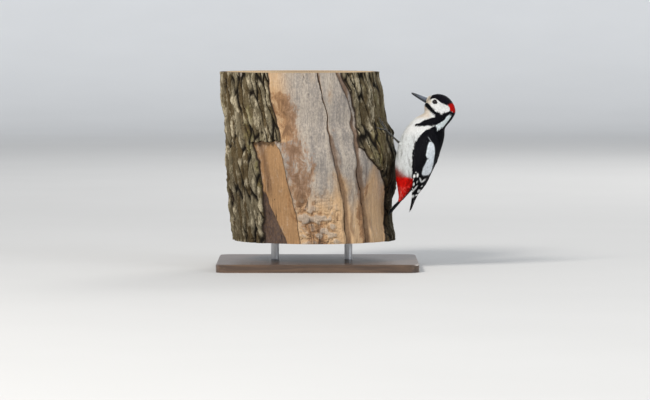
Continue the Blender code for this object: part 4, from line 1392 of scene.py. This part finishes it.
# Quills of the tail for one side, from the innermost:
# row number of the tip, share of the half width at root and tip, half widths, how white its bars are
tailQuills = (
    (6.0, (0.16, 0.30), (4.2, 4.2), 0.0), (5.6, (0.34, 0.50), (4.2, 4.0), 0.0),
    (5.1, (0.50, 0.66), (4.0, 3.6), 0.0), (4.6, (0.64, 0.80), (3.4, 3.4), 0.35),
    (4.1, (0.78, 0.92), (2.6, 3.2), 0.9),
)
quillForms = {
    "wing": {
        "root": 4.6,                # its row number
        "bend": 1.5,                # how late it turns to its tip
        "limits": (-0.06, 1.06),    # how far the edges may reach
        "grid": (56, 9),            # points along it and across
        "blunt": 0.16,
        "point": 0.55,
    },
    "tail": {"root": 0.1, "bend": 1.2, "limits": (-1.1, 1.1), "grid": (44, 11), "blunt": 0.30, "point": 0.5},
}


def spotted(u, w):
    # share of white of the flight feathers' spots
    white = np.zeros(u.shape)
    for spotU, spotW, length, width, lean in wingSpots:
        c, s = math.cos(math.radians(lean)), math.sin(math.radians(lean))
        along, across = (u - spotU) * c + (w - spotW) * s, (w - spotW) * c - (u - spotU) * s
        size = np.hypot(along / (0.5 * length), across / (0.5 * width))
        white = np.maximum(white, softStep(size, 1.30, 0.85))
    return white


def quillColour(points, luck):
    u, y, w = sideView(points)
    colour = blend(paint["quill"], paint["worn"], softStep(w, 30, 4)[..., None] * 0.8)
    patch = softStep(inside("scapulars", u, w), 0.4, 1.2)
    return blend(colour, paint["spot"], np.maximum(spotted(u, w), patch)[..., None])


def coverColour(points, luck):
    u, y, w = sideView(points)
    patch = np.maximum(inside("scapulars", u, w), inside("scapular streak", u, w))
    colour = blend(paint["black"], paint["patch"], softStep(patch, 0.1, 1.0)[..., None])
    return blend(colour, paint["spot"], spotted(u, w)[..., None])


def barred(whiteness):
    def colour(points, luck):
        w = points[..., 2]
        bars = softStep(np.sin((w + 6 * luck) * 0.95), -0.1, 0.35) * whiteness * softStep(w, 36, 28)
        return blend(paint["quill"], paint["tailBar"], bars[..., None])
    return colour


def growQuill(sheet, form, tip, sides, halves, colour, luck, strip, tilt, rise):
    # one long stiff feather on a sheet; its outer edge lies over the next one's inner edge
    stations, columns = form["grid"]
    shares = 1 - (1 - np.linspace(0, 1, stations)) ** 1.25
    across = np.linspace(-1, 1, columns)
    i = blend(form["root"], tip, shares)
    j = blend(*sides, shares ** form["bend"])
    over = np.linalg.norm(sheet.at(i, j)[3], axis=-1)
    end = np.clip((1 - shares) / form["blunt"], 0, 1)
    full = np.sqrt(np.clip(1 - (1 - end) ** 2, 0, 1)) ** (2 * form["point"])
    full = full * (0.35 + 0.65 * softStep(shares, -0.05, 0.25))
    room = ((j - form["limits"][0]) * over, (form["limits"][1] - j) * over)
    outer, inner = (
        (np.minimum(half, np.maximum(free, 0.25)) * full + 0.05)[:, None] for half, free in zip(halves, room)
    )
    nick = 0.12 * np.sin(shares * 90 + luck * 40)[:, None] * np.abs(across) ** 6
    vi = i[:, None] - 0.10 * np.abs(across) ** 1.5 * full[:, None]
    vj = j[:, None] + (across * np.where(across < 0, outer, inner) + nick) / over[:, None]
    surface, normal = sheet.at(vi, vj)[:2]
    lean = blend(*tilt, 0.5 + 0.5 * across) * (0.4 + 0.6 * full[:, None])
    groove = 0.10 * bell(across, 0.12)
    points = surface + normal * (rise + lean + groove)[..., None]
    # the colour runs across the vane, more along the shaft than out to the edges
    tint = colour(blend(points, points[:, columns // 2, None], 0.6), luck)
    vane = np.stack(np.broadcast_arrays(shares[:, None] * 2.5, across, luck), -1)
    left, wide = strip
    places = np.broadcast_arrays(left + wide * (0.5 + 0.45 * across), 0.03 + 0.94 * shares[:, None])
    paints = (tint.reshape(-1, 3), vane.reshape(-1, 3), np.stack(places, -1).reshape(-1, 2))
    return points.reshape(-1, 3), gridFaces(stations, columns), *paints


def makeWings():
    glossy = featherLook("wingPlumage", 0.36)
    reach = 0.6 * wingCoat["scapulars"]["length"]

    def keepCoverts(i, j, point):
        return (i > 0.02) & (i < 5.9 - 0.3 * j) & (j > -0.03) & (j < 0.93)

    def keepScapulars(i, j, point):
        u, y, w = sideView(point)
        return inside("scapulars", u, w - reach) > -0.6

    for side, sheet in wingSheets.items():
        replaced = ("wing_" + side,)
        crops = [
            sow(sheet, keep, wingCoat[kind], coverColour, whole=False)()
            for kind, keep in (("coverts", keepCoverts), ("scapulars", keepScapulars))
        ]
        addCoat("wing_coverts_" + side, crops, glossy, replaced)
        count = len(wingQuills)
        quills = [
            growQuill(sheet, quillForms["wing"], tip, sides, halves, quillColour, (k * 0.37) % 1.0,
                      (k / count, 1 / count), (0.25, -0.8), 0.03 * k - 0.25)
            for k, (tip, sides, halves) in enumerate(wingQuills)
        ]
        addCoat("wing_quills_" + side, quills, glossy, replaced)


makeWings()
print("wings made")


def makeTail():
    stiff = featherLook("tailPlumage", 0.42)
    quills = []
    count = 2 * len(tailQuills)
    for k, (tip, sides, halves, whiteness) in enumerate(tailQuills):
        for n, sign in enumerate((-1, 1)):
            # the outer half comes first on the left, the inner half on the right
            quills.append(growQuill(
                tailSheet, quillForms["tail"], tip, [sign * share for share in sides], halves[::-sign],
                barred(whiteness), 0.13 * k + 0.4 * n, ((2 * k + n) / count, 1 / count),
                (-0.15, 0.1)[::-sign], -0.32 * k - 0.15 * n,
            ))
    addCoat("tail_quills", quills, stiff, ("tail",))


makeTail()
print("tail made")

# Bill, of two halves
bill = {
    "base": (58.9, 171.4),
    "tip": (34.9, 183.4),
    "faceRise": (0.117, 0.993),
    # name, side of the gape, depth at the base, share of the length
    "halves": (("bill_upper", 1, 4.4, 1.0), ("bill_lower", -1, 4.1, 0.985)),
    "halfWidth": 4.3,
    "tipHalf": 0.55,
    "tipHalfWidth": 0.715,
    "gape": 0.10,
    "rows": 54,
    "sides": 25,
    "slate": (0.050, 0.060, 0.078),
    "lightSlateAndHighlight": (0.135, 0.155, 0.205),
    "tipDark": (0.014, 0.015, 0.018),
}


def billLook():
    look = Look("slateHorn", {"Roughness": 0.34, "IOR": 1.5, "Specular IOR Level": 0.35})
    along, across, half = look.parts("vane")
    streak = look.noise(look.spun(along * 2.0, across * 14.0, half), 3.0, 4.0)
    fine = look.noise(look.place(), 1400.0, 3.0)
    colour = look.layers(
        bill["slate"],
        # lighter bluish streaks toward the base, partly the horn's own colour and partly a painted highlight
        (streak.clip(0.35, 0.70) * (1 - along.clip(0.2, 0.8)), bill["lightSlateAndHighlight"]),
        (along.clip(0.35, 0.95), bill["tipDark"]),
        ((1 - along.clip(0.0, 0.14)) * 0.45, bill["tipDark"]),
    )
    # the lower half is darker by its third vane number: painted shade under the bill
    value = (0.85 + 0.3 * fine) * (0.25 + 1.5 * half)
    look.set({"Base Color": look.shade(colour, value), "Roughness": 0.30 + 0.22 * streak})
    look.bump(streak * 0.6 + fine * 0.4, 0.00015)
    return look


def makeBill():
    look = billLook()
    base, tip = np.array(bill["base"]), np.array(bill["tip"])
    axis = (tip - base) / np.linalg.norm(tip - base)
    upright, face = np.array((axis[1], -axis[0])), np.array(bill["faceRise"])
    turns = np.linspace(0, math.pi, bill["sides"])
    back = turns[::-1][1:-1]
    for name, sign, root, end in bill["halves"]:
        gap = bill["gape"] * sign
        shares = 0.002 + (1 - (1 - np.linspace(0.0, 1.0, bill["rows"])) ** 1.3) * (end - 0.002)
        rows = []
        for share in shares:
            fade = 1 - share
            depth = blend(bill["tipHalf"], root, fade**0.62)
            half = blend(bill["tipHalfWidth"], bill["halfWidth"], fade**0.78)
            # a groove along the side and a ridge on the back
            side = np.cos(turns) * (1 - 0.10 * fade * bell(np.sin(turns) - 0.45, 0.16))
            height = np.sin(turns) ** 0.82 * (1 + 0.07 * bell(np.cos(turns), 0.14) * fade)
            out = np.concatenate([sign * depth * height + gap, np.full(len(back), gap)])
            y = np.concatenate([half * side, half * np.cos(back) * 0.96])
            x, z = blend(base, tip, share)[:, None] + blend(face, upright, share)[:, None] * out
            rows.append(np.stack([x, y, z], -1))
        points, faces = closed(np.array(rows))
        around = np.concatenate([turns, back]) / math.pi
        # the third number, higher on the upper half, sets the painted shade of the lower half in the look
        vane = np.stack(np.broadcast_arrays(shares[:, None], around, 0.3 + 0.2 * sign), -1).reshape(-1, 3)
        vane = np.concatenate([vane, vane[[0, -1]]])
        addPiece(name + "_horn", toWorld(points), faces[:, ::sign], look, (name,),
                 {"vane": vane})


makeBill()
print("bill made")


def eyeLook():
    look = Look("wetEye", {"Roughness": 0.06, "IOR": 1.45, "Specular IOR Level": 0.15})
    look.set({"Coat Weight": 0.30, "Coat Roughness": 0.02})
    ring, turn = look.parts("ring")[:2]
    rays = look.noise(look.spun(turn * 9.0, ring * 1.5), 4.0, 3.0)
    look.set({"Base Color": look.layers(
        eye["irisEdge"],
        (rays.clip(0.3, 0.7), eye["iris"]),
        (ring.clip(0.78, 0.92), eye["irisEdge"]),
        (1 - ring.clip(0.46, 0.52), eye["pupil"]),
    )})
    return look


def lidLook():
    look = Look("lidSkin", {"Roughness": 0.5, "Specular IOR Level": 0.15})
    grain = look.noise(look.place(), 2600.0, 3.0)
    look.set({"Base Color": look.shade(eye["lid"], 0.6 + 0.9 * grain)})
    look.bump(grain, 0.0001)
    return look


def makeEyes():
    wet, lidSkin = eyeLook(), lidLook()
    radius, sides = eye["radius"], eye["sides"]
    wide, tall = eye["opening"]
    turns = np.linspace(0, 2 * math.pi, sides, endpoint=False)
    fall, turn = np.meshgrid(np.linspace(0.0, math.pi, eye["rings"])[1:-1], turns, indexing="ij")
    reach = radius * (1 + 0.03 * bell(fall, 0.55))
    marks = np.stack([fall, turn, reach], -1).reshape(-1, 3)
    marks = np.concatenate([marks, [(0, 0, radius), (math.pi, 0, radius)]])
    for name, side in (("left", -1), ("right", 1)):
        centre = np.array(eye["centre"]) * (1, side, 1)
        axis = np.array(eye["look"]) * (1, side, 1)
        axis /= np.linalg.norm(axis)
        fore = np.array((1.0, 0.0, 0.0)) - axis[0] * axis
        fore /= np.linalg.norm(fore)
        up = np.cross(axis, fore) * side
        c, s = math.cos(eye["lean"]), math.sin(eye["lean"])
        fore, up = fore * c + up * s, up * c - fore * s
        ring = fore * np.cos(turn)[..., None] + up * np.sin(turn)[..., None]
        ball = centre + reach[..., None] * (axis * np.cos(fall)[..., None] + ring * np.sin(fall)[..., None])
        points, faces = closed(ball, (centre + axis * radius * 1.03, centre - axis * radius))
        addPiece("eye_ball_" + name, toWorld(points), faces[:, ::side], wet, ("eye_" + name,),
                 {"ring": marks})
        rows = []
        for share, rise in eye["lids"]:
            across = fore * (wide * np.cos(turns))[:, None] * share
            across = across + up * (tall * np.sin(turns) * share)[:, None]
            size = np.minimum(np.linalg.norm(across, axis=1), radius * 0.985)
            crease = 0.05 * np.sin(turns * 22) * (share > 1.0)
            rows.append(centre + across + axis * (np.sqrt(radius**2 - size**2) + rise + crease)[:, None])
        faces = gridFaces(len(rows), sides, True)[:, ::side]
        addPiece("eye_lids_" + name, toWorld(np.array(rows)), faces, lidSkin)


makeEyes()
print("eyes made")

# Legs, feet and claws
legs = {
    # heel, where the pad stands (side and height), and which way is out
    "left": ((18.6, -13.8, 109.8), (-14.0, 127.5), -1),
    "right": ((11.8, 12.8, 68.5), (13.0, 87.5), 1),
}
foot = {
    "padLift": 3.5,
    "ankle": 1.0,               # how far short of the pad the shank ends
    "tarsus": (1.9, 1.5, 1.35, 1.35, 1.55),     # radii from heel to pad
    "ball": (1.9, 2.2, 1.6),    # radius of the pad, and its reach up and down the shank
    "toeRadii": (1.4, 0.85),
    "toeLift": 1.55,
    "toeArch": 0.7,
    "knuckle": 4.5,
    "scute": 1.15,
    "clawReach": 0.62,
    "clawArch": 1.8,
    "clawLift": 0.2,
    "clawRadii": (0.84, 0.82, 0.76, 0.66, 0.54, 0.40, 0.16),
    "rows": {"shank": 60, "toe": 44, "claw": 30, "ball": 24},
    "skin": (0.046, 0.044, 0.038),
    "skinDark": (0.024, 0.023, 0.020),
    "claw": (0.050, 0.047, 0.045),
    "clawTip": (0.012, 0.011, 0.011),
}
toes = (
    # name, direction from straight up toward the outer side, length, length of the claw
    ("inner", -20.0, 11.5, 6.0),
    ("middle", 7.0, 15.0, 7.0),
    ("outer", 74.0, 14.0, 7.0),
    ("hind", 222.0, 7.5, 5.0),
)


def barkDepth(side, height):
    # x of the bark, in the bird's frame, at a side y and a height z
    side, height = np.broadcast_arrays(np.asarray(side, float), np.asarray(height, float))
    low, high = np.full(side.shape, -40.0), np.full(side.shape, 40.0)
    level = 1000 * birdPlace["tailTip"][2] + height - trunk["foot"]
    centre, radius = trunkStation(level)
    c, s = math.cos(birdPlace["turn"]), math.sin(birdPlace["turn"])
    for _ in range(24):
        x = (low + high) / 2
        worldX = 1000 * birdPlace["tailTip"][0] + x * c + side * s - centre
        worldY = 1000 * birdPlace["tailTip"][1] - x * s + side * c
        reach = radius + barkBumps(np.arctan2(-worldY, worldX), level)
        outside = np.hypot(worldX, worldY) > reach
        low, high = np.where(outside, low, x), np.where(outside, x, high)
    return (low + high) / 2


def sweep(path, radii, sides, plates=0.0, pitch=1.2, squash=1.0):
    # a closed tube along a path, with rings of scutes on the side away from the trunk
    path = np.asarray(path, float)
    along = np.gradient(path, axis=0)
    along /= np.linalg.norm(along, axis=1, keepdims=True)
    top = np.array((1.0, 0.0, 0.0)) - along[:, :1] * along
    top /= np.linalg.norm(top, axis=1, keepdims=True)
    across = np.cross(along, top)
    turns = np.linspace(0, 2 * math.pi, sides, endpoint=False)
    travel = np.concatenate([[0], np.cumsum(np.linalg.norm(np.diff(path, axis=0), axis=1))])
    scute = np.abs(np.sin(math.pi * travel / pitch))[:, None] ** 0.5
    facing = softStep(np.cos(turns), -0.35, 0.35)[None, :]
    small = np.abs(np.sin(math.pi * travel / pitch * 2))[:, None] * np.abs(np.sin(turns * 6))[None, :]
    size = radii[:, None] * (1 + plates * (scute * facing + 0.5 * small * (1 - facing) - 0.6))
    points = path[:, None] + top[:, None] * (size * np.cos(turns))[..., None]
    points = points + across[:, None] * (size * squash * np.sin(turns))[..., None]
    shares = (travel / travel[-1])[:, None]
    vane = np.stack(np.broadcast_arrays(shares, turns / math.pi - 1, scute), -1).reshape(-1, 3)
    points, faces = closed(points, path[[0, -1]])
    return points, faces[:, ::-1], np.concatenate([vane, vane[:2]])


def legLook():
    look = Look("scaledLeg", {"Roughness": 0.55, "Specular IOR Level": 0.25})
    groove = look.parts("vane")[2]
    fine = look.noise(look.place(), 1600.0, 3.0)
    colour = look.mix(groove.clip(0.30, 0.85), foot["skinDark"], foot["skin"])
    look.set({"Base Color": look.shade(colour, 0.7 + 0.6 * fine)})
    look.bump(fine, 0.0001)
    return look


def clawLook():
    look = Look("clawHorn", {"Roughness": 0.30})
    along, across, groove = look.parts("vane")
    streak = look.noise(look.spun(along, across * 7.0, groove * 0.1), 3.0, 3.0)
    colour = look.mix(along.clip(0.25, 0.9), foot["claw"], foot["clawTip"])
    look.set({"Base Color": look.shade(colour, 0.65 + 0.7 * streak), "Roughness": 0.22 + 0.25 * streak})
    look.bump(streak, 0.0001)
    return look


def addScuted(name, part, look, replaced):
    points, faces, vane = part
    addPiece(name, toWorld(points), faces, look, (replaced,), {"vane": vane})


def makeToe(padSide, padHeight, out, direction, reach, claw):
    # a toe that follows the bark from the pad, and the claw at its end
    across, upward = out * math.sin(math.radians(direction)), math.cos(math.radians(direction))
    shares = np.linspace(0, 1, foot["rows"]["toe"])
    y = padSide + across * reach * shares
    z = padHeight + upward * reach * shares
    lift = blend(foot["padLift"], foot["toeLift"], shares) + foot["toeArch"] * np.sin(math.pi * shares)
    path = np.stack([barkDepth(y, z) + lift, y, z], -1)
    knuckles = 1 + 0.10 * np.cos(shares * math.pi * 2 * max(round(reach / foot["knuckle"]), 1)) ** 2
    toe = sweep(path, blend(*foot["toeRadii"], shares) * knuckles, 16, 0.08, foot["scute"])
    ahead = path[-1] - path[-2]
    ahead /= np.linalg.norm(ahead)
    y = path[-1, 1] + ahead[1] + across * claw * foot["clawReach"]
    z = path[-1, 2] + ahead[2] + upward * claw * foot["clawReach"]
    tip = np.array((barkDepth(y, z) + foot["clawLift"], y, z))
    shares = np.linspace(0, 1, foot["rows"]["claw"])
    hook = blend(path[-1] - ahead * 0.5, tip, shares[:, None])
    hook[:, 0] += foot["clawArch"] * np.sin(math.pi * shares**0.8)
    radii = np.interp(shares, np.linspace(0, 1, len(foot["clawRadii"])), foot["clawRadii"])
    return toe, sweep(hook, radii, 14, squash=0.72)


def makeLegs():
    scaly, horn = legLook(), clawLook()
    for side, (heel, (padSide, padHeight), out) in legs.items():
        pad = np.array((barkDepth(padSide, padHeight) + foot["padLift"], padSide, padHeight))
        heel = np.array(heel)
        along = (pad - heel) / np.linalg.norm(pad - heel)
        shares = np.linspace(0, 1, foot["rows"]["shank"])
        radii = spline([(radius,) for radius in foot["tarsus"]], shares * (len(foot["tarsus"]) - 1))[0]
        shank = sweep(blend(heel, pad - along * foot["ankle"], shares[:, None]), radii, 20, 0.055, 1.9)
        addScuted("tarsus_scutes_" + side, shank, scaly, "tarsus_" + side)
        parts = []
        for name, direction, reach, claw in toes:
            toe, hook = makeToe(padSide, padHeight, out, direction, reach, claw)
            parts.append(toe)
            addScuted(f"claw_hook_{side}_{name}", hook, horn, f"claw_{side}_{name}")
        count = foot["rows"]["ball"]
        radius, above, below = foot["ball"]
        path = blend(pad - along * above, pad + along * below, np.linspace(0, 1, count)[:, None])
        radii = radius * np.sqrt(np.clip(1 - np.linspace(-0.98, 0.98, count) ** 2, 0.05, 1))
        parts.append(sweep(path, radii, 20, 0.08, 0.9))
        addScuted("foot_scutes_" + side, joined(parts), scaly, "foot_" + side)


makeLegs()
print("legs made")

# Display stand
stand = {"wood": (0.055, 0.032, 0.020), "woodLight": (0.115, 0.066, 0.038), "steel": (0.52, 0.52, 0.53)}


def standLooks():
    wood = Look("stainedBase", {"Roughness": 0.4, "Coat Weight": 0.25, "Coat Roughness": 0.2})
    grain = wood.noise(wood.place((0.06, 1.0, 1.0)), 170.0, 5.0, 0.6, 0.6)
    pores = wood.noise(wood.place((0.05, 1.0, 1.0)), 900.0, 3.0)
    colour = wood.mix(grain.clip(0.35, 0.68), stand["wood"], stand["woodLight"])
    wood.set({"Base Color": wood.shade(colour, 0.75 + 0.5 * pores), "Roughness": 0.34 + 0.2 * pores})
    wood.bump(pores * 0.5 + grain * 0.3, 0.0002)
    steel = Look("brushedRod", {"Roughness": 0.3, "Metallic": 1.0})
    brush = steel.noise(steel.place((1.0, 1.0, 60.0)), 160.0, 3.0)
    colour = steel.shade(stand["steel"], 0.85 + 0.3 * brush)
    steel.set({"Base Color": colour, "Roughness": 0.22 + 0.22 * brush})
    steel.bump(brush, 0.00008)
    return {"stand_base": wood, "stand_rod_left": steel, "stand_rod_right": steel}


for node, look in standLooks().items():
    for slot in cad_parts[node].material_slots:
        slot.material = look.material
print("stand finished")
